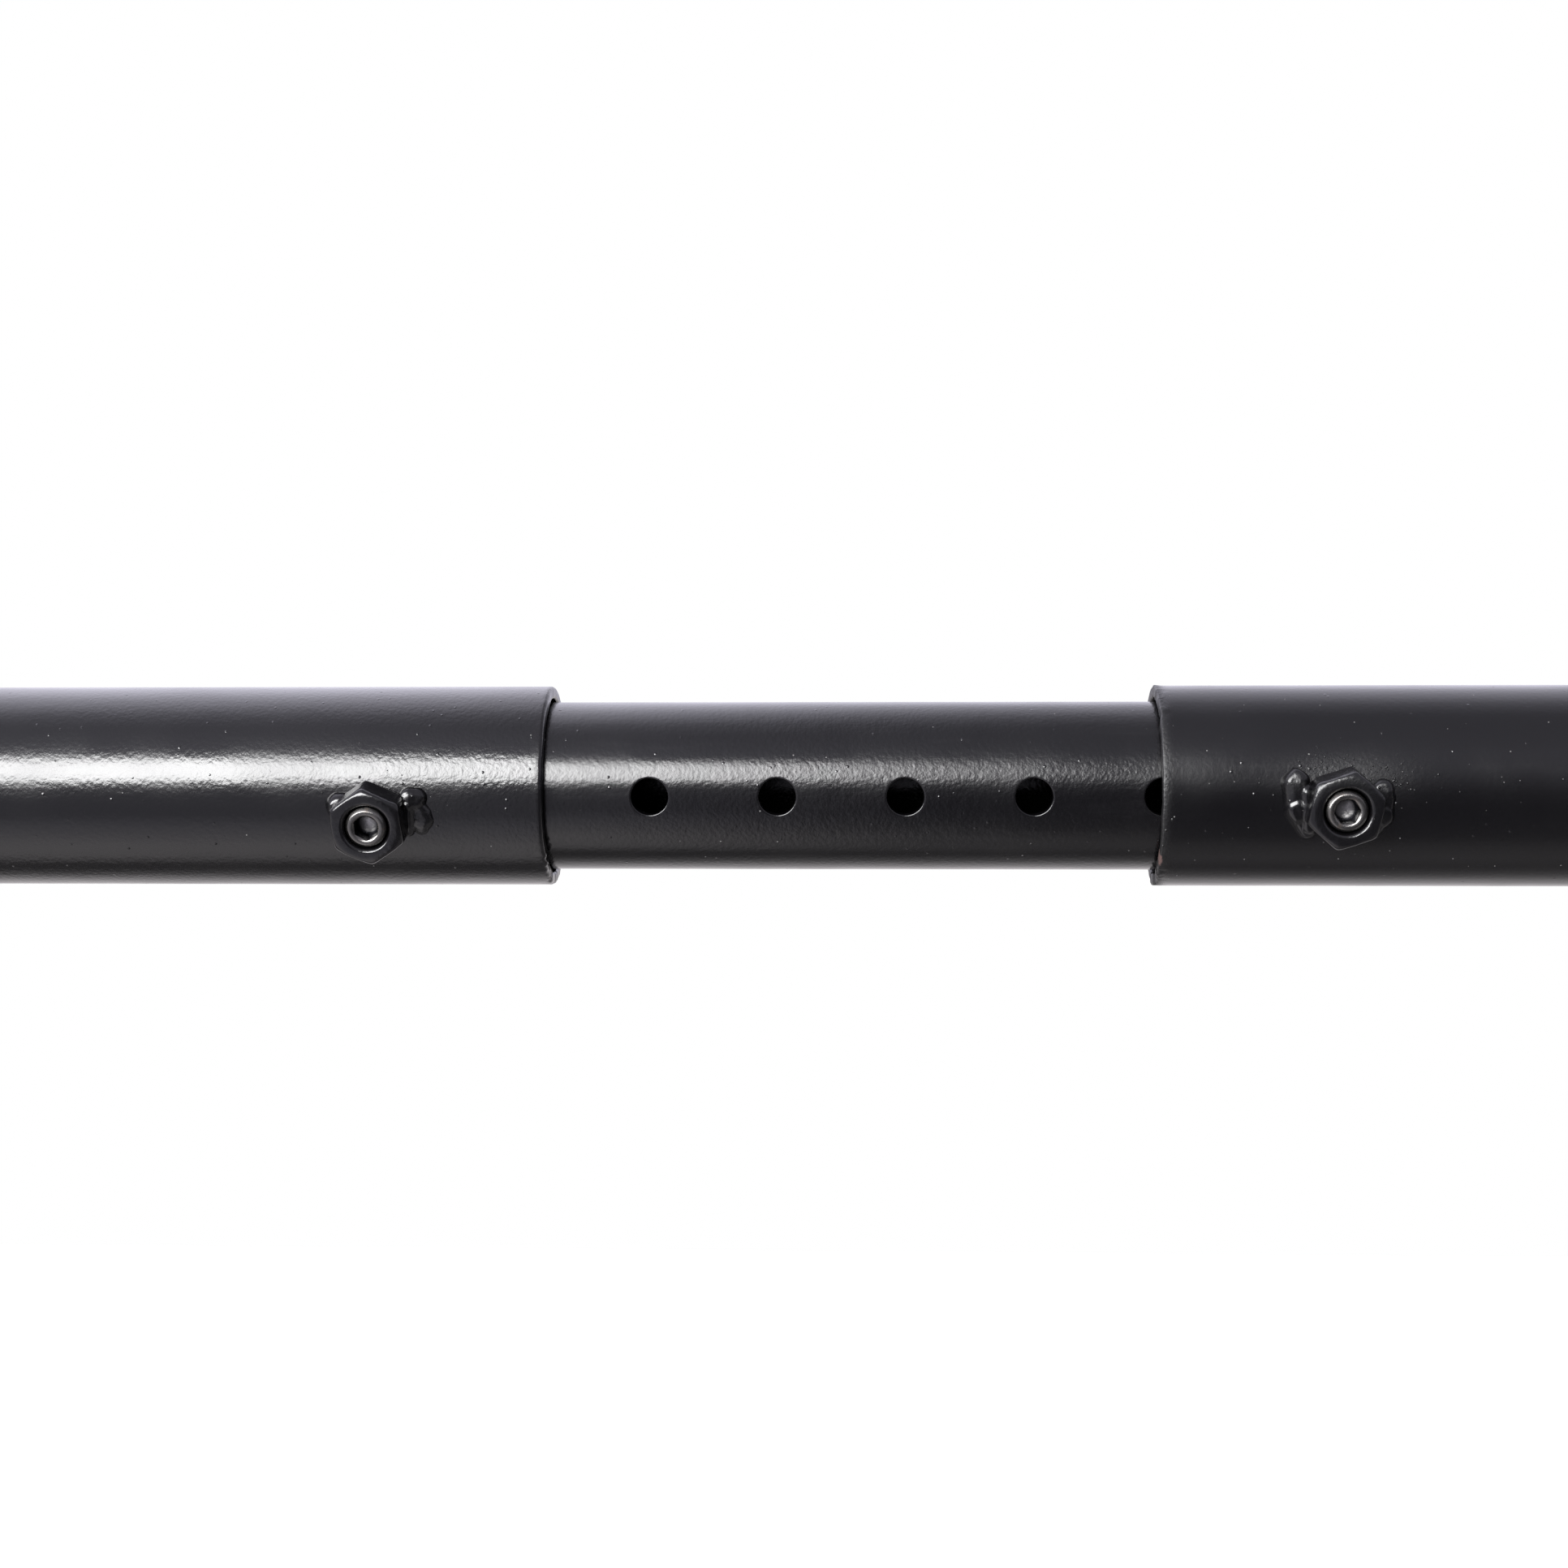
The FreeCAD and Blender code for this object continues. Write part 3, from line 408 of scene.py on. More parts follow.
def tubeWall(skin, stations, angles, radius, wall, holes, strip, solid, wear):
    # An outer and an inner grid over station and angle, joined by walls round every gap. Each hole takes the
    # place of a square of cells: rings blend the square into the hole's rim, which rolls over into its wall.
    # The first strip cells round the tube are the ones with holes, and wear moves every point at the end.
    def place(x, angle, reach):
        x, angle, reach = wear(*np.broadcast_arrays(x, angle, reach))
        return np.stack([x, -reach * np.cos(angle), reach * np.sin(angle)], -1)

    inside = radius - wall
    keep = solid.copy()
    half = (angles[0] + angles[strip]) / 2
    for x, bore, roll, reach in holes:
        first, last = (int(np.argmin(abs(stations - x - shift))) for shift in (-reach, reach))
        keep[first:last, :strip] = False
        edge, arc = stations[first:last + 1], angles[:strip + 1]
        cells = last - first
        edgeX = [edge[:-1], np.full(strip, edge[-1]), edge[:0:-1], np.full(strip + 1, edge[0])]
        edgeAngle = [np.full(cells, arc[0]), arc[:-1], np.full(cells, arc[-1]), arc[::-1]]
        edgeX, edgeAngle = np.concatenate(edgeX), np.concatenate(edgeAngle)
        turn = np.arctan2(radius * (edgeAngle - half), edgeX - x)

        def ring(grown, depth):  # a circle round the hole's axis, that much wider and that deep in the wall
            side = (bore + grown) * np.sin(turn)
            return np.array([x + (bore + grown) * np.cos(turn), half + np.arcsin(side / (radius - depth)),
                             np.full(turn.shape, radius - depth)])

        def square(reach):  # the square's own outline
            return np.array([edgeX, edgeAngle, np.full(turn.shape, reach)])

        quarter = np.linspace(0, np.pi / 2, 7)
        rolled = [ring(roll * (1 - math.sin(q)), roll * (1 - math.cos(q))) for q in quarter]
        bottom = ring(0.0, wall)
        rows = [square(radius) * w + rolled[0] * (1 - w) for w in (1.0, 0.7, 0.45, 0.25, 0.1)] + rolled
        rows += [ring(0.0, depth) for depth in np.linspace(roll, wall, 5)[1:]]
        rows += [square(inside) * w + bottom * (1 - w) for w in (0.3, 0.65, 1.0)]
        rows = np.array(rows)
        skin.grid(place(rows[:, 0], rows[:, 1], rows[:, 2]))
    for reach in (radius, inside):
        skin.grid(place(stations[:, None], angles[None, :], reach), keep=keep)
    through = np.array([radius, radius, inside, inside])
    i, j = np.nonzero(np.diff(np.pad(solid, ((1, 1), (0, 0))).astype(int), axis=0))
    angle = np.stack([angles[j], angles[j + 1], angles[j + 1], angles[j]], -1)
    skin.quads(place(np.stack([stations[i]] * 4, -1), angle, through))
    i, j = np.nonzero(solid != np.roll(solid, 1, axis=1))
    x = np.stack([stations[i], stations[i + 1], stations[i + 1], stations[i]], -1)
    skin.quads(place(x, np.stack([angles[j]] * 4, -1), through))


def roundedEnd(reach, radius, wall, fromEnd, outerRound, innerRound):
    # Rolls the outer surface in, and the inner one out, over the last stretch before an open end.
    outside = reach > radius - wall / 2
    size = np.where(outside, outerRound, innerRound)
    short = np.clip(size - fromEnd, 0, size)
    drop = size - np.sqrt(np.maximum(size ** 2 - short ** 2, 0))
    return reach + np.where(outside, -drop, drop)


innerTube = {
    "wall": 3.0, "holes": 12, "pitch": 31.2, "bore": 4.5, "below": 7.6, "rimRoll": 0.45, "lipRound": 0.8,
    "lipInside": 0.5, "cell": 7.0, "cellStep": 0.8, "step": 1.6, "along": 2.6,
}


def makeInnerTube(look):
    # A plain tube with rounded ends. Its row of holes, a pitch apart, runs a few degrees below the front.
    low, high = (np.array(corner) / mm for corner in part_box("inner_tube"))
    radius, middle, cell = (high[2] - low[2]) / 2, (high[0] + low[0]) / 2, look["cell"]
    centres = middle + look["pitch"] * (np.arange(look["holes"]) - (look["holes"] - 1) / 2)
    half = cell / radius
    row = -math.radians(look["below"])
    strip = np.linspace(row - half, row + half, round(2 * cell / look["cellStep"]) + 1)
    angles = np.concatenate([strip, divide([row + half, row - half + 2 * np.pi], look["step"] / radius)[1:]])
    stations = [divide([low[0], low[0] + 1, centres[0] - cell], look["along"])]
    for n, centre in enumerate(centres):
        stations.append(divide([centre - cell, centre + cell], look["cellStep"])[1:])
        after = centres[n + 1] - cell if n + 1 < len(centres) else high[0]
        stations.append(divide([centre + cell, after], look["along"])[1:])
    stations = np.concatenate(stations)

    def wear(x, angle, reach):
        fromEnd = np.minimum(x - low[0], high[0] - x)
        reach = roundedEnd(reach, radius, look["wall"], fromEnd, look["lipRound"], look["lipInside"])
        return x, angle, reach

    skin = Skin()
    holes = [(centre, look["bore"], look["rimRoll"], cell) for centre in centres]
    solid = np.ones((len(stations) - 1, len(angles) - 1), bool)
    tubeWall(skin, stations, angles, radius, look["wall"], holes, len(strip) - 1, solid, wear)
    piece = skin.build("innerTube", innerCoat)
    standFor(piece, "inner", "inner_paint", "inner_tube")


outerTube = {
    "wall": 3.0, "slotHalf": 6.2, "slotDepth": 50.0, "screwHole": 5.5, "rimRoll": 0.3, "cell": 7.5,
    "step": 0.8, "along": 3.2, "lipReach": 6.0, "lipStep": 0.6, "middleStep": 1.6,
    "lipRound": {"left": 0.9, "right": 0.5}, "lipInside": 0.6,
    "worn": 1.8, "ragged": 0.09, "dent": 0.03,  # the mouth's wear dies out over the first of these
    "burrs": {"left": [-50, -72, -95], "right": [88, 70, 48, -54, -66, -80, -96]},  # degrees round the tube
    "burrWide": 0.12, "burr": 0.5, "burrDent": 0.2,
    "bulge": {"left": 0.0, "right": 0.34}, "bulgeAt": -1.35, "bulgeWide": 0.35, "bulgeReach": 9.0,
    "chip": {"left": 0.5, "right": 0.95}, "chipAt": {"left": -70, "right": -47}, "chipSize": (2.0, 0.8),
    "grit": {"left": 0.3, "right": 1.0}, "lipGrit": {"left": 0.3, "right": 2.2}, "lipGritReach": 1.7,
    "weldGritSize": (13.0, 9.0), "weldGritUp": 4.0,
}


def makeOuterTube(side, look):
    # A tube with a slot above and below at its far end, a hole for the screw, and a worn mouth. The wear is
    # noise times a bell curve of the distance from the mouth, and is deepest at a few burrs round it.
    radius, wall, cell, name = side.radius, look["wall"], look["cell"], side.name
    half = cell / radius
    slot = math.asin(look["slotHalf"] / radius)
    start = side.nutAngle - half
    corners = [np.pi / 2 - slot, np.pi / 2 + slot, np.pi * 1.5 - slot, np.pi * 1.5 + slot]
    strip = np.linspace(start, start + 2 * half, round(2 * cell / look["step"]) + 1)
    rest = divide([start + 2 * half, *corners, start + 2 * np.pi], look["step"] / radius)
    angles = np.concatenate([strip, rest[1:]])
    lipRound = look["lipRound"][name]
    lip = lipRound * (1 - np.cos(np.linspace(0, np.pi / 2, 7)))
    nutReach = abs(side.nutX - side.mouth)
    length = abs(side.end - side.mouth)
    slotStart = length - look["slotDepth"]
    reach = np.concatenate([
        lip,
        divide([lip[-1], look["lipReach"]], look["lipStep"])[1:],
        divide([look["lipReach"], nutReach - cell], look["middleStep"])[1:],
        divide([nutReach - cell, nutReach + cell], look["step"])[1:],
        divide([nutReach + cell, slotStart, length], look["along"])[1:]])
    stations = side.mouth + side.sign * reach
    near = 1e-6
    slots = [(angles[:-1] > corners[k] - near) & (angles[:-1] < corners[k + 1] - near) for k in (0, 2)]
    inSlot = (reach[:-1, None] > slotStart - near) & np.any(slots, axis=0)

    def wear(x, angle, radial):
        fromMouth = side.sign * (x - side.mouth)
        radial = roundedEnd(radial, radius, wall, fromMouth, lipRound, look["lipInside"])
        ring = np.stack([fromMouth * 0.4, np.cos(angle) * radius, np.sin(angle) * radius], -1)
        fade = np.exp(-(fromMouth / look["worn"]) ** 2)
        chips = 0
        for spot in np.radians(look["burrs"][name]):
            away = np.angle(np.exp(1j * (angle - spot)))
            chips = chips + np.exp(-(away / look["burrWide"]) ** 2)
        ragged = softNoise(ring, 5.0, 11 + side.sign) * look["ragged"]
        burr = chips * look["burr"] * softNoise(ring, 2.6, 31 + side.sign)
        dent = softNoise(ring, 2.8, 41 + side.sign) * (look["dent"] + chips * look["burrDent"])
        bulge = np.exp(-((angle - look["bulgeAt"]) / look["bulgeWide"]) ** 2)
        bulge = bulge * np.exp(-(fromMouth / look["bulgeReach"]) ** 2) * look["bulge"][name]
        bulge = bulge * (1 + softNoise(ring * np.array([2.5, 1, 1]), 5.0, 51) * 0.35)
        return x - side.sign * fade * (ragged - burr), angle, radial + fade * dent + bulge

    def bare(points):
        # A chip through the coat low on the mouth: a round hump of the distance from it.
        around = (turnOf(points) - math.radians(look["chipAt"][name])) * radius
        wide, long = look["chipSize"]
        return np.exp(-(around / wide) ** 2 - (side.fromMouth(points) / long) ** 2) * look["chip"][name]

    def roughPatch(points):
        # Rougher coat round the nut's welds and on the lip, more so on the right: the higher of two humps.
        long, high = look["weldGritSize"]
        along, up = points[:, 0] - side.nutX, side.upFromNut(points) - look["weldGritUp"]
        welded = np.exp(-(along / long) ** 2 - (up / high) ** 2) * look["grit"][name]
        lip = np.exp(-(side.fromMouth(points) / look["lipGritReach"]) ** 2) * look["lipGrit"][name]
        return np.maximum(welded, lip)

    skin = Skin()
    holes = [(side.nutX, look["screwHole"], look["rimRoll"], cell)]
    if side.sign < 0:
        stations, inSlot = stations[::-1], inSlot[::-1]
    tubeWall(skin, stations, angles, radius, wall, holes, len(strip) - 1, ~inSlot, wear)
    piece = skin.build(f"outerTube_{name}", outerCoats[name], {"bare": bare, "roughPatch": roughPatch})
    standFor(piece, side.body, "outer_paint", f"outer_tube_{name}")


makeInnerTube(innerTube)
for side in sides:
    makeOuterTube(side, outerTube)


# Nuts and set screws

nut = {
    "flats": 17.2, "height": 8.1, "face": 16.4, "chamfer": 30.0, "softness": 26, "sink": 6.5,
    "sinkDepth": 1.5, "bore": 5.4, "pitch": 1.5, "turn": {"left": 35.2, "right": 18.3}, "around": 216,
    "rings": 64, "swell": 0.05, "grain": 0.02, "grit": {"left": 0.1, "right": 0.9},
}


def makeNut(side, look):
    # From the nut's middle, the surface lies in each direction at a soft minimum of the distances to the six
    # flats, the chamfer's cone and the two faces. Then it turns down the countersink and the threaded bore.
    half, chamfer = look["height"] / 2, math.radians(look["chamfer"])
    turn = np.linspace(0, 2 * np.pi, look["around"], endpoint=False)
    lowest, highest = -math.atan2(half, look["bore"]), math.atan2(half, look["sink"])
    lift = np.linspace(lowest, highest, look["rings"])[:, None]
    flatTurns = [math.radians(1) * (look["turn"][side.name] + 30 + 60 * k) for k in range(6)]
    nearness = [np.cos(lift) * np.cos(turn - flat) / (look["flats"] / 2) for flat in flatTurns]
    coneAway = look["face"] / 2 * math.sin(chamfer) + half * math.cos(chamfer)
    cone = np.cos(lift) * math.sin(chamfer) + np.sin(lift) * math.cos(chamfer)
    nearness.append(cone / coneAway + 0 * turn)
    nearness += [np.sin(lift) / half + 0 * turn, -np.sin(lift) / half + 0 * turn]
    away = (np.maximum(nearness, 0) ** look["softness"]).sum(0) ** (-1 / look["softness"])
    points = [away * np.cos(lift) * np.cos(turn), away * np.cos(lift) * np.sin(turn), away * np.sin(lift)]
    points = np.stack(points, -1)
    swell = softNoise(points, 5.0, 61 + side.sign) * look["swell"]
    swell = swell + softNoise(points, 1.6, 63 + side.sign) * look["grain"]
    points *= 1 + (swell / away)[..., None]
    roll = [(math.sin(q), 1 - math.cos(q)) for q in np.linspace(0, np.pi / 2, 9)[1:]]
    span, sunk = look["sink"] - look["bore"], half - look["sinkDepth"]
    inner = [(look["sink"] - span * across, half - look["sinkDepth"] * down) for across, down in roll]
    inner += [(look["bore"], z) for z in np.linspace(sunk, -half, 26)[1:]]
    radius, z = np.array(inner).T[:, :, None]
    wave = np.abs(((z / look["pitch"] - turn / (2 * np.pi)) % 1) - 0.5)
    groove = np.clip(wave * 3 - 0.35, 0, 0.8) * 0.5  # flat crests, and flanks between them
    radius = radius + groove * (z < sunk) * (z > 1 - half)
    bore = np.stack([radius * np.cos(turn), radius * np.sin(turn), z + 0 * turn], -1)
    rows = np.concatenate([points, bore, points[:1]]) + np.array([0, 0, half])
    skin = Skin()
    skin.grid(side.fromNut(rows, side.radius), wrap=True)

    def roughPatch(points):
        # Spatter under the coat makes the upper half gritty, the right-hand nut most.
        return np.clip((side.upFromNut(points) - 1) / 4, 0, 1) * look["grit"][side.name]

    piece = skin.build(f"weldNut_{side.name}", weldCoat, {"roughPatch": roughPatch})
    standFor(piece, side.body, "painted_weld", f"weld_nut_{side.name}")


screw = {
    "radius": 4.95, "tip": 3.45, "taper": 1.5, "length": 11.9, "start": 21.1, "pitch": 1.5, "thread": 0.85,
    "threadStep": 0.13, "chamfer": 0.75, "socket": 2.75, "socketDepth": 4.2, "drillPoint": 1.2,
    "mouth": 3.35, "around": 120, "turn": {"left": 31.8, "right": 5.7},
}


def makeScrew(side, look):
    # Rings from the flat point up the threaded shank, over the chamfered end, down the hexagon socket.
    turn = np.linspace(0, 2 * np.pi, look["around"], endpoint=False)
    top, radius, mouth = look["length"], look["radius"], look["mouth"]
    sector = np.radians(60)
    corner = (turn - math.radians(look["turn"][side.name]) + sector) % sector
    flat = math.cos(math.radians(30)) / np.cos(corner - sector / 2)  # 1 at a corner, less on a flat
    hexagon = look["socket"] / math.cos(math.radians(30)) * flat
    chamferStart, floor = top - look["chamfer"], top - look["socketDepth"]

    def rings(pairs):
        return [(r + 0 * turn, z + 0 * turn) for r, z in pairs]

    rows = rings([(0.0, 0.0), (look["tip"] * 0.6, 0.0), (look["tip"] - 0.15, 0.0), (look["tip"], 0.12)])
    for z in np.arange(0.3, chamferStart + 0.01, look["threadStep"]):
        wave = np.abs(((z / look["pitch"] - turn / (2 * np.pi)) % 1) - 0.5) * 2
        cut = np.clip(wave * 1.25 - 0.12, 0, 1) * look["thread"]
        cone = look["tip"] + z * (radius - look["tip"]) / look["taper"]
        fade = min(1.0, (chamferStart - z) / 0.5)
        rows.append((np.minimum(radius - cut * fade, cone), z + 0 * turn))
    rows += rings([(radius, chamferStart), (radius - 0.35, top - 0.35), (radius - 0.62, top - 0.08)])
    rows += rings([(radius - 0.75, top), (radius - 1.1, top), (mouth + 0.12, top), (mouth, top - 0.05)])
    for drop in (0.15, 0.3, 0.45, 0.6):  # the cone at the socket's mouth cuts the hexagon's flats
        rows.append((np.maximum(hexagon, mouth - drop * 1.1), top - drop + 0 * turn))
    rows += [(hexagon, z + 0 * turn) for z in (top - 0.75, top - 2.5, floor)]
    rows += rings([(look["socket"] * 0.9, floor - 0.1), (0.0, floor - look["drillPoint"])])
    r, z = np.array(rows).transpose(1, 0, 2)
    skin = Skin()
    skin.grid(side.fromNut(np.stack([r * np.cos(turn), r * np.sin(turn), z], -1), look["start"]), wrap=True)

    def fromAxis(points):  # in tenths of a millimetre
        return side.toNut(points)[0] * 10

    def downScrew(points):  # from its axis, and down from its outer end
        across, lift = side.toNut(points)
        return across, look["start"] + top - lift

    def grime(points):
        # Painted shade: near black down the socket, and nearly as dark round the threads inside the nut.
        across, depth = downScrew(points)
        socket = np.clip((depth - 0.35) / 0.3, 0, 1) * (across < mouth)
        thread = np.clip((depth - 0.9) / 0.6, 0, 1) * (across >= mouth)
        return np.maximum(socket, thread * 0.8)

    def drilled(points):
        # The cone that the drill left at the bottom of the socket, with a painted highlight on it.
        across, depth = downScrew(points)
        return (across < look["socket"]) * (depth > look["socketDepth"] + 0.2) * (depth < top - 1.0)

    marks = {"fromAxis": fromAxis, "grime": grime, "drilled": drilled}
    piece = skin.build(f"setScrew_{side.name}", screwSteel, marks, sharp=40.0)
    standFor(piece, f"{side.name}_screw", "bare_screw", f"set_screw_{side.name}")


nutWeld = {  # each run of bead: along, up, half width and height at its start, then the same at its end
    "left": {
        -1: [((-8.0, 3.0, 3.3, 2.2), (-5.6, 3.2, 3.2, 2.6)),
             ((-7.8, 2.8, 3.0, 2.0), (-7.2, 0.4, 3.0, 1.2))],
        1: [((9.6, 4.7, 3.1, 2.6), (11.2, 4.8, 2.7, 2.0)),
            ((10.4, 4.0, 2.8, 1.8), (12.3, -0.8, 2.9, 1.1)),
            ((12.3, -0.8, 2.9, 1.1), (12.0, -2.4, 2.1, 0.8)),
            ((8.6, 2.0, 2.3, 2.4), (8.4, -3.2, 2.0, 1.6))]},
    "right": {
        -1: [((-11.2, 5.4, 3.5, 3.0), (-10.6, -1.4, 3.2, 2.2)),
             ((-10.6, -1.4, 3.2, 2.2), (-8.0, -6.4, 2.3, 1.4)),
             ((-8.0, 3.0, 2.0, 2.8), (-7.6, -5.2, 1.9, 2.0))],
        1: [((9.4, 3.2, 3.2, 2.4), (9.6, -2.6, 3.0, 1.8)),
            ((9.6, -2.6, 3.0, 1.8), (8.0, -5.4, 2.3, 1.2))]},
    "around": 144, "rings": 52, "reach": 12, "merge": 3.0, "ragged": 0.07, "roughness": 0.10,
    "sharpness": 4.2, "sharperUp": 2.2, "sunk": 0.04, "belly": 0.8, "grit": {"left": 0.25, "right": 1.0},
}


def makeNutWeld(side, look):
    # A puddle each side of the nut. A run's height is 1 less a power of the distance from its middle line,
    # high towards the top so that it ends in an edge there, and low below so that it fades. Runs merge by a
    # root of summed powers. Rings go from the puddle's middle to its edge, found along each direction, and a
    # shallow dish closes it below.
    turn = np.linspace(0, 2 * np.pi, look["around"], endpoint=False)

    def beadHeight(along, up, runs, hand):
        total = 0.0
        uneven = 1 + softNoise(np.stack([along, up, 0 * up], -1), 4.5, 70 + hand) * look["ragged"]
        for start, finish in np.array(runs):
            rise, climb = (finish - start)[:2]
            share = ((along - start[0]) * rise + (up - start[1]) * climb) / (rise ** 2 + climb ** 2)
            share = np.clip(share, 0, 1)
            midAlong, midUp, halfWide, high = [a + share * (b - a) for a, b in zip(start, finish)]
            away = np.hypot(along - midAlong, up - midUp) / halfWide * uneven
            sharpness = look["sharpness"] + look["sharperUp"] * np.clip((up - midUp) / halfWide, -1, 1)
            total = total + (high * np.maximum(1 - away ** sharpness, 0)) ** look["merge"]
        return total ** (1 / look["merge"])

    skin = Skin()
    for hand, runs in look[side.name].items():
        middle = np.mean(np.array(runs)[:, :, :2], axis=(0, 1))
        reach = np.linspace(0, look["reach"], 500)[:, None]
        along, up = middle[0] + reach * np.cos(turn), middle[1] + reach * np.sin(turn)
        inside = beadHeight(along, up, runs, hand) > 0
        edge = reach[len(reach) - 1 - inside[::-1].argmax(0), 0]
        share = np.sin(np.linspace(0, np.pi / 2, look["rings"]))[:, None]
        along = middle[0] + share * edge * np.cos(turn)
        up = middle[1] + share * edge * np.sin(turn)
        height = beadHeight(along, up, runs, hand)
        detail = softNoise(np.stack([along, up, 0 * along], -1), 3.2, 80 + hand) * look["roughness"]
        height = height + np.minimum(height, 1) * detail - look["sunk"]
        skin.grid(side.onTube(along, up, height), wrap=True)
        dish = -look["sunk"] - (1 - share ** 2) * look["belly"] + 0 * along
        skin.grid(side.onTube(along, up, dish), wrap=True)

    def roughPatch(points):
        # Spatter under the coat makes the top of the right-hand welds gritty.
        return np.clip((side.upFromNut(points) + 1) / 6, 0, 1) * look["grit"][side.name]

    piece = skin.build(f"nutWeld_{side.name}", weldCoat, {"roughPatch": roughPatch})
    standFor(piece, side.body, "painted_weld", f"nut_weld_{side.name}")


spatter = {  # along and up are each a middle and a spread, and small beads are commoner by the power favour
    "count": {"left": 14, "right": 230}, "along": (2.0, 8.5), "up": (7.2, 3.0), "smallest": 0.11,
    "largest": 0.34, "favour": 2.5, "flatter": 0.8, "seed": 5,
}


def makeSpatter(side, look):
    # Small round beads half sunk in the coat, scattered thickest over the top of the nut and its welds.
    chance = np.random.default_rng(look["seed"] + side.sign)
    count = look["count"][side.name]
    along = chance.normal(*look["along"], count)
    up = chance.normal(*look["up"], count)
    share = chance.uniform(0, 1, count) ** look["favour"]
    size = look["smallest"] + (look["largest"] - look["smallest"]) * share
    turn = np.linspace(0, 2 * np.pi, 9)[None, :, None]
    tilt = np.linspace(0, np.pi, 7)[:, None, None]
    along = along + size * np.sin(tilt) * np.cos(turn)
    up = up + size * np.sin(tilt) * np.sin(turn)
    beads = side.onTube(along, up, size * np.cos(tilt) * look["flatter"] + 0 * turn)
    skin = Skin()
    for n in range(count):
        skin.grid(beads[:, :, n])
    piece = skin.build(f"spatter_{side.name}", weldCoat)
    standFor(piece, side.body, "painted_weld")


for side in sides:
    makeNut(side, nut)
    makeScrew(side, screw)
    makeNutWeld(side, nutWeld)
    makeSpatter(side, spatter)


# Outer ends

lugWeld = {
    "plate": 6.0, "run": 50.0, "leg": 5.0, "belly": 0.9, "ripple": 2.3, "rippleHeight": 0.22, "bend": 1.1,
    "taper": 2.2, "wander": 0.5, "uneven": 0.05, "step": 0.35, "around": 16,
}


def beadShape(start, finish, heel, belly, share):
    # The section of a fillet bead: a chord from toe to toe pushed out by a half sine, then back by the heel.
    over, under = share[share <= 0.5] * 2, share[share > 0.5] * 2 - 1
    out = (start + finish) / 2 - heel
    out /= np.linalg.norm(out)
    chord = start + (finish - start) * over[:, None] + out * np.sin(np.pi * over)[:, None] * belly
    inward, outward = heel - finish, start - heel
    back = [finish + inward * t * 2 if t < 0.5 else heel + outward * (t * 2 - 1) for t in under]
    return np.concatenate([chord, back]), np.concatenate([np.sin(np.pi * over), 0 * under])


def rippled(along, wander, share, look):
    # A cosine of the way along, bent by a square across the bead, so that each ripple is a crescent.
    bent = along + wander * look["wander"] + look["bend"] * (share * 4 - 1) ** 2
    return np.cos(2 * np.pi * bent / look["ripple"])


def wandering(along, n, scale, seed):
    # Slow noise of the way along, different for each run.
    return softNoise(np.hstack([along, 0 * along, 0 * along + n * 9]), scale, seed)[:, None]


def makeLugWeld(side, look):
    # Four fillets where the plate meets the tube. Curved ripples run along each, and both ends are rounded.
    plate, leg, radius, run = look["plate"], look["leg"], side.radius, look["run"]
    skin = Skin()
    share = np.linspace(0, 1, look["around"] * 2, endpoint=False)
    x = np.arange(0, run + 0.01, look["step"])[:, None]
    top = math.sqrt(radius ** 2 - plate ** 2)
    low = plate + leg * 0.95
    start = np.array([plate - 0.2, top + leg])
    finish = np.array([low, math.sqrt(radius ** 2 - low ** 2) - 0.2])
    heel = np.array([plate - 0.2, top - 0.5])
    section, free = beadShape(start, finish, heel, look["belly"], share)
    for n, (front, level) in enumerate([(a, b) for a in (-1, 1) for b in (-1, 1)]):
        wander = wandering(x, n, 9.0, 90 + n + side.sign)
        ripple = free * rippled(x, wander, share, look) * look["rippleHeight"] / leg
        end = np.clip(np.minimum(x, run - x) / look["taper"], 0, 1)
        size = np.sqrt(1 - (1 - end) ** 2) * (1 + wander * look["uneven"]) + ripple
        size = np.where(end > 0, size, 0)
        points = heel + (section - heel) * size[:, :, None]
        where = np.broadcast_to(side.end - side.sign * (run - x), size.shape)
        skin.grid(np.stack([where, points[..., 0] * front, points[..., 1] * level], -1), wrap=True)
    piece = skin.build(f"lugWeld_{side.name}", weldCoat)
    standFor(piece, side.body, "painted_weld", f"lug_weld_{side.name}")


capWeld = {
    "plate": 6.0, "cap": 22.5, "reach": 2.5, "belly": 0.5, "ripple": 2.0, "rippleHeight": 0.16, "bend": 0.9,
    "taper": 6, "wander": 0.5, "uneven": 0.04, "around": 14, "turns": 240,
}


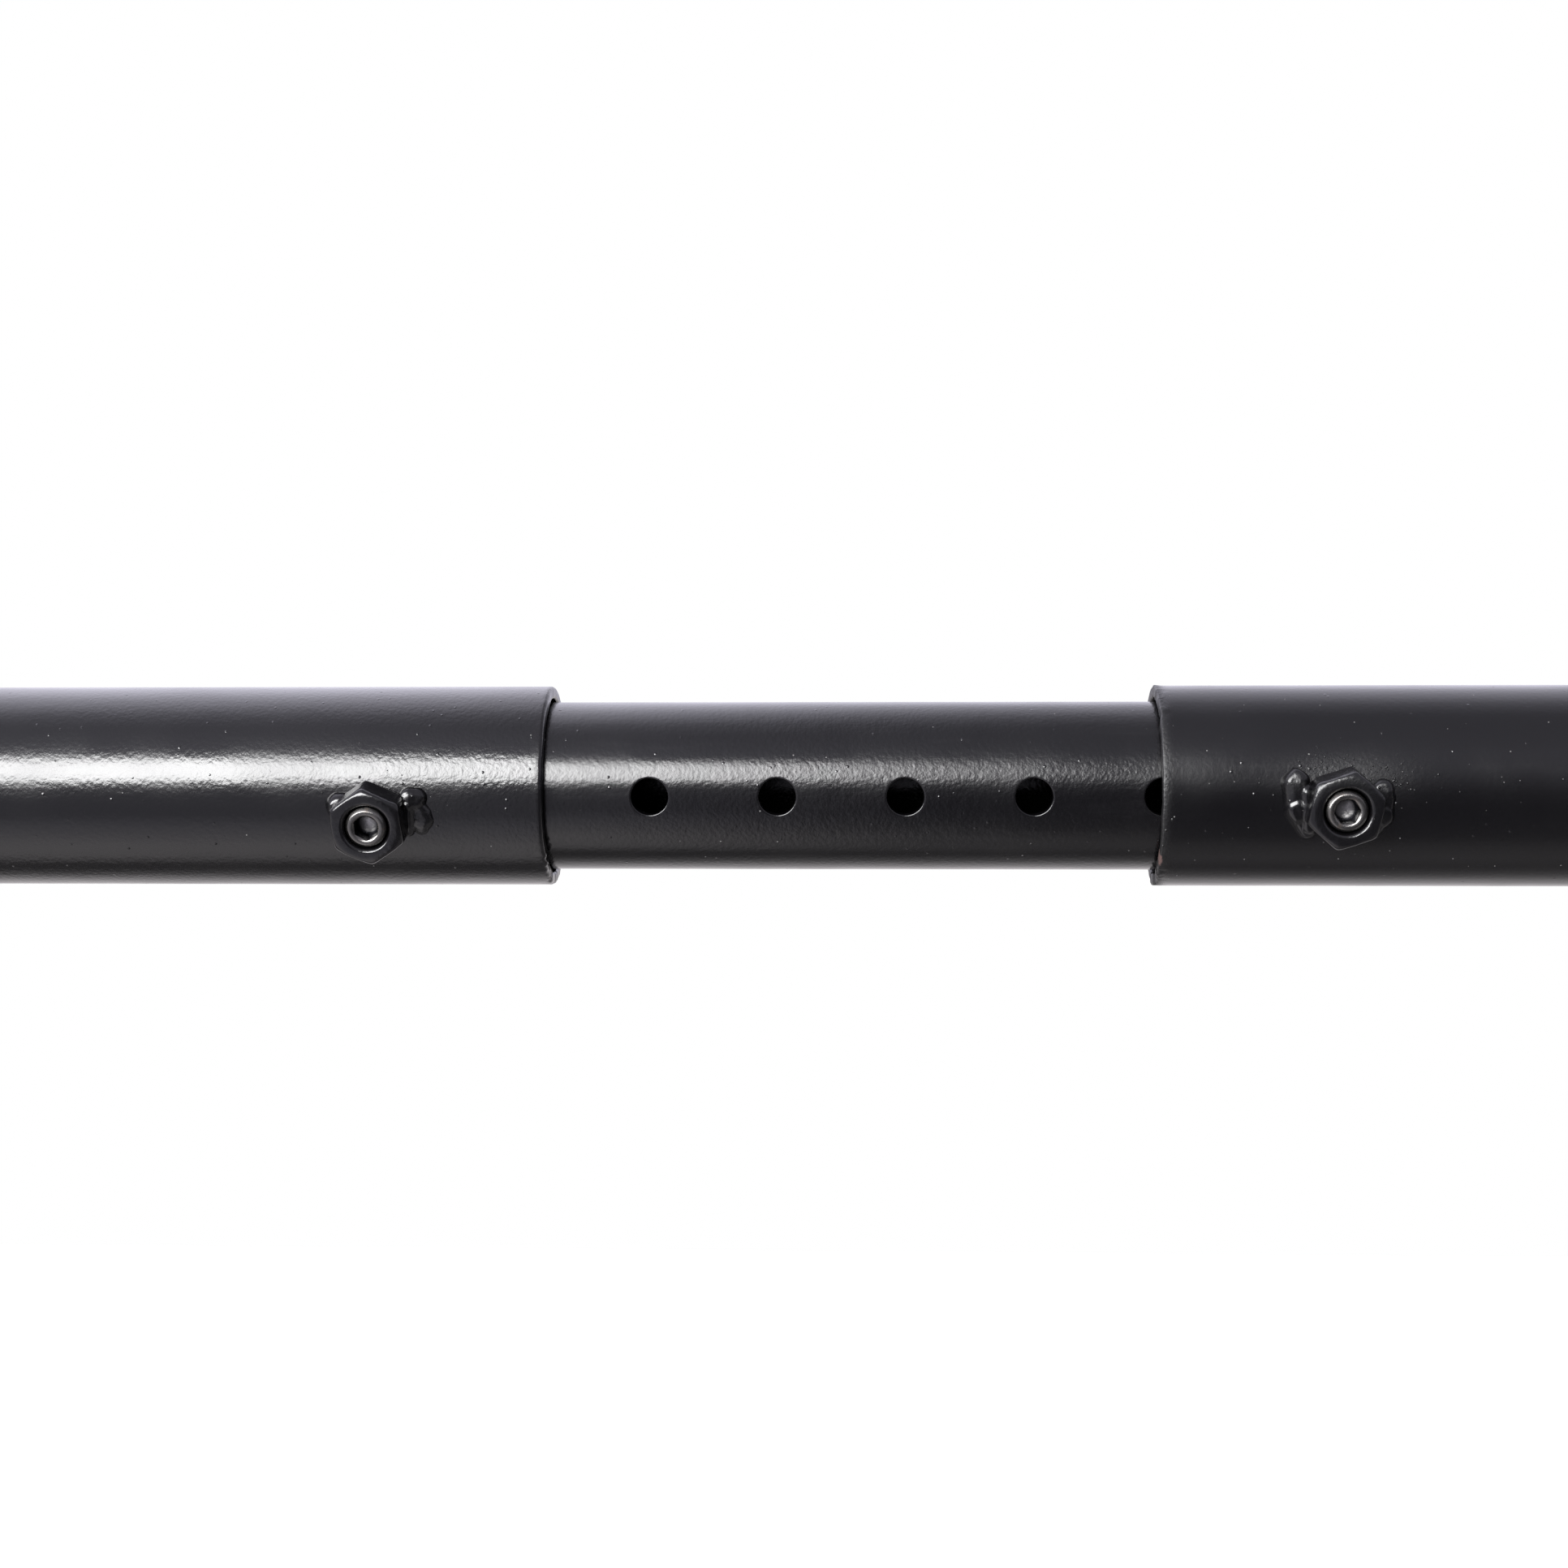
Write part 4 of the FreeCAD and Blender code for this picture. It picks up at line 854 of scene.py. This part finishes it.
def makeCapWeld(side, look):
    # A rippled bead round each half of the end cap, from the cap's rim out to the tube's.
    skin = Skin()
    share = np.linspace(0, 1, look["around"] * 2, endpoint=False)
    gap = math.asin(look["plate"] / side.radius)
    sweep = np.linspace(0, 1, look["turns"])[:, None]
    start, finish = np.array([0.0, side.radius - 0.15]), np.array([look["reach"], look["cap"] - 0.1])
    heel = np.array([-0.2, look["cap"] - 0.6])
    section, free = beadShape(start, finish, heel, look["belly"], share)
    for front in (0, 1):
        angle = np.pi * front - np.pi / 2 + gap + sweep * (np.pi - 2 * gap)
        along = sweep * (np.pi - 2 * gap) * side.radius
        wander = wandering(along, front, 8.0, 96 + side.sign)
        ripple = free * rippled(along, wander, share, look) * look["rippleHeight"] / look["reach"]
        end = np.clip(np.minimum(sweep, 1 - sweep) * look["turns"] / look["taper"], 0, 1)
        size = (1 + ripple + wander * look["uneven"] * free) * np.sqrt(1 - (1 - end) ** 2)
        points = heel + (section - heel) * size[:, :, None]
        x, reach = side.end + side.sign * points[..., 0], points[..., 1]
        skin.grid(np.stack([x, -reach * np.cos(angle), reach * np.sin(angle)], -1), wrap=True)
    piece = skin.build(f"capWeld_{side.name}", weldCoat)
    standFor(piece, side.body, "painted_weld", f"cap_weld_{side.name}")


scuff = {  # the ring is in metres from the middle of a shackle's hole
    "inner": (0.0080, 0.0105), "outer": (0.0135, 0.0165), "patchScale": 260.0, "patchEdge": (0.42, 0.56),
    "steel": (0.16, 0.15, 0.145, 1.0), "brown": (0.09, 0.05, 0.03, 1.0), "brownScale": 90.0,
    "brownEdge": (0.4, 0.7), "metal": 0.85, "duller": 0.2,
}


def plateCoat(side, look):
    # The coat on a lug plate, chipped to bare steel where a shackle's ears swing on it: a ring of distances
    # from the hole's middle, times noise. One ring serves both holes, which mirror each other.
    pivot = joints[f"top_{side.name}_swing"]["pos_m"]

    def scuffed(coat, place, colour, roughness):
        x, z = [coat.node("SeparateXYZ", {}, {"Vector": place}, out=n) for n in (0, 2)]
        level, sideways = z.reckon("ABSOLUTE") - pivot[2], x - pivot[0]
        away = (level * level + sideways * sideways).reckon("SQRT")
        ring = away.smoothly(*look["inner"]) * (1 - away.smoothly(*look["outer"]))
        rubbed = ring * coat.noise(place, look["patchScale"], 5.0, 0.62).smoothly(*look["patchEdge"])
        brown = coat.noise(place, look["brownScale"], 3.0).smoothly(*look["brownEdge"])
        bared = coat.blend(brown, look["steel"], look["brown"])
        return coat.blend(rubbed, colour, bared), roughness + rubbed * look["duller"], rubbed * look["metal"]

    return blackCoat(f"plateCoat_{side.name}", coatLook, scuffed=scuffed)


def refinish(part, finish):
    # A node that keeps its own mesh gets a finish in place of the plain one.
    part.data.materials.clear()
    part.data.materials.append(finish)


for side in sides:
    makeLugWeld(side, lugWeld)
    makeCapWeld(side, capWeld)
    refinish(frame["nodes"][f"lug_plate_{side.name}"], plateCoat(side, scuff))

endFinishes = {"end_cap": weldCoat, "shackle_bow": zinc, "shackle_pin": zinc}
for node, part in frame["nodes"].items():
    for start, finish in endFinishes.items():
        if node.startswith(start):
            refinish(part, finish)
print("ends finished")


# Stage, light and camera

stage = {
    "floorDrop": 0.30, "floorHalf": 1.6, "floorColour": (0.9, 0.9, 0.9, 1.0), "floorRough": 0.9,
    "floorGlow": 0.45, "camera": (0.0104, -0.6314, 0.0004), "yaw": 2.5, "lens": 57.7, "sensor": 36.0,
}
white = (1, 1, 1, 1)


def makeFloor(look):
    # One pale square below the beam. It glows a little to stay pale, and the coat doesn't mirror it.
    half, drop = look["floorHalf"], cadBox[0][2] - look["floorDrop"]
    corners = [(-half, -half, drop), (half, -half, drop), (half, half, drop), (-half, half, drop)]
    mesh = bpy.data.meshes.new("floor")
    mesh.from_pydata(corners, [], [(0, 1, 2, 3)])
    floor = bpy.data.objects.new("floor", mesh)
    bpy.context.scene.collection.objects.link(floor)
    pale = Finish(bpy.data.materials.new("paleFloor"))
    mesh.materials.append(pale.surface(Base_Color=look["floorColour"], Roughness=look["floorRough"],
                                       Emission_Color=white, Emission_Strength=look["floorGlow"]))
    floor.visible_glossy = False


studio = {
    "strength": 4.0,  # what a stop of 1 means
    "left": [(0.0, 0.27), (0.06, 0.26), (0.115, 0.22), (0.145, 0.12), (0.178, 0.05), (0.212, 0.045),
             (0.25, 0.26), (0.295, 0.32), (0.365, 0.22), (0.405, 0.13), (0.50, 0.14), (0.62, 0.28),
             (0.70, 0.21), (0.745, 0.30), (0.80, 0.60), (0.87, 0.66), (0.93, 0.45), (1.0, 0.27)],
    "right": [(0.0, 0.27), (0.06, 0.26), (0.118, 0.21), (0.15, 0.11), (0.20, 0.05), (0.25, 0.10),
              (0.295, 0.085), (0.335, 0.040), (0.43, 0.022), (0.475, 0.03), (0.513, 0.075), (0.555, 0.14),
              (0.60, 0.168), (0.745, 0.13), (0.80, 0.22), (0.835, 0.33), (0.92, 0.40), (1.0, 0.27)],
    "sideBlend": (-0.18, 0.06),
    "warm": (1.02, 0.975, 1.0, 1.0), "cool": (0.965, 0.945, 1.09, 1.0), "tintBlend": (0.28, 0.42),
    "box": 25.0, "boxLow": (0.504, 0.520), "boxHigh": (0.574, 0.597), "boxRight": (0.05, -0.20),
    "boxLeft": (-0.95, -0.80), "boxSlant": 0.008, "slantOver": (-0.25, 0.05),
}


def makeSurroundings(look):
    # A white room to the eye. What the coat mirrors is a studio: brightness by the angle round the beam's
    # axis, one curve for the left and one for the right, and a long soft box high on the camera's left.
    world = bpy.data.worlds.new("studio")
    bpy.context.scene.world = world
    room = Finish(world)
    heading = room.node("TexCoord")
    x, y, z = [room.node("SeparateXYZ", {}, {"Vector": heading}, out=n) for n in range(3)]
    turn = z.reckon("ARCTAN2", y * -1) / (2 * np.pi) + 0.5  # 0 behind, 0.25 below, 0.5 in front, 0.75 above
    left = room.node("ValToRGB", {"stops": look["left"]}, {"Fac": turn})
    right = room.node("ValToRGB", {"stops": look["right"]}, {"Fac": turn})
    tint = room.blend(turn.smoothly(*look["tintBlend"]), look["warm"], look["cool"])
    mixed = room.blend(x.smoothly(*look["sideBlend"]), left, right)
    product = {"data_type": "RGBA", "blend_type": "MULTIPLY"}
    tinted = room.node("Mix", product, {0: 1.0, 6: mixed, 7: tint}, out=2)
    slanted = turn - x.between(*look["slantOver"]) * look["boxSlant"]
    box = slanted.smoothly(*look["boxLow"]) * (1 - turn.smoothly(*look["boxHigh"]))
    box = box * x.between(*look["boxRight"]) * x.smoothly(*look["boxLeft"])
    around = room.node("Background", {}, {"Color": tinted, "Strength": look["strength"]})
    lamp = room.node("Background", {}, {"Color": white, "Strength": box * look["box"]})
    mirrored = room.node("AddShader", {}, {0: around, 1: lamp})
    seen = room.node("Background", {}, {"Color": white, "Strength": 1.0})
    both = room.node("MixShader", {}, {0: room.node("LightPath"), 1: mirrored, 2: seen})
    room.node("OutputWorld", {}, {"Surface": both})


def makeCamera(look):
    # Level with the beam's middle, turned a little to the left.
    camera = bpy.data.objects.new("camera", bpy.data.cameras.new("camera"))
    camera.data.lens = look["lens"]
    camera.data.sensor_width = look["sensor"]
    camera.location = look["camera"]
    camera.rotation_euler = (math.pi / 2, 0, math.radians(look["yaw"]))
    bpy.context.scene.collection.objects.link(camera)
    bpy.context.scene.camera = camera
    bpy.context.scene.view_settings.view_transform = "Standard"


makeFloor(stage)
makeSurroundings(studio)
makeCamera(stage)
print("stage set")
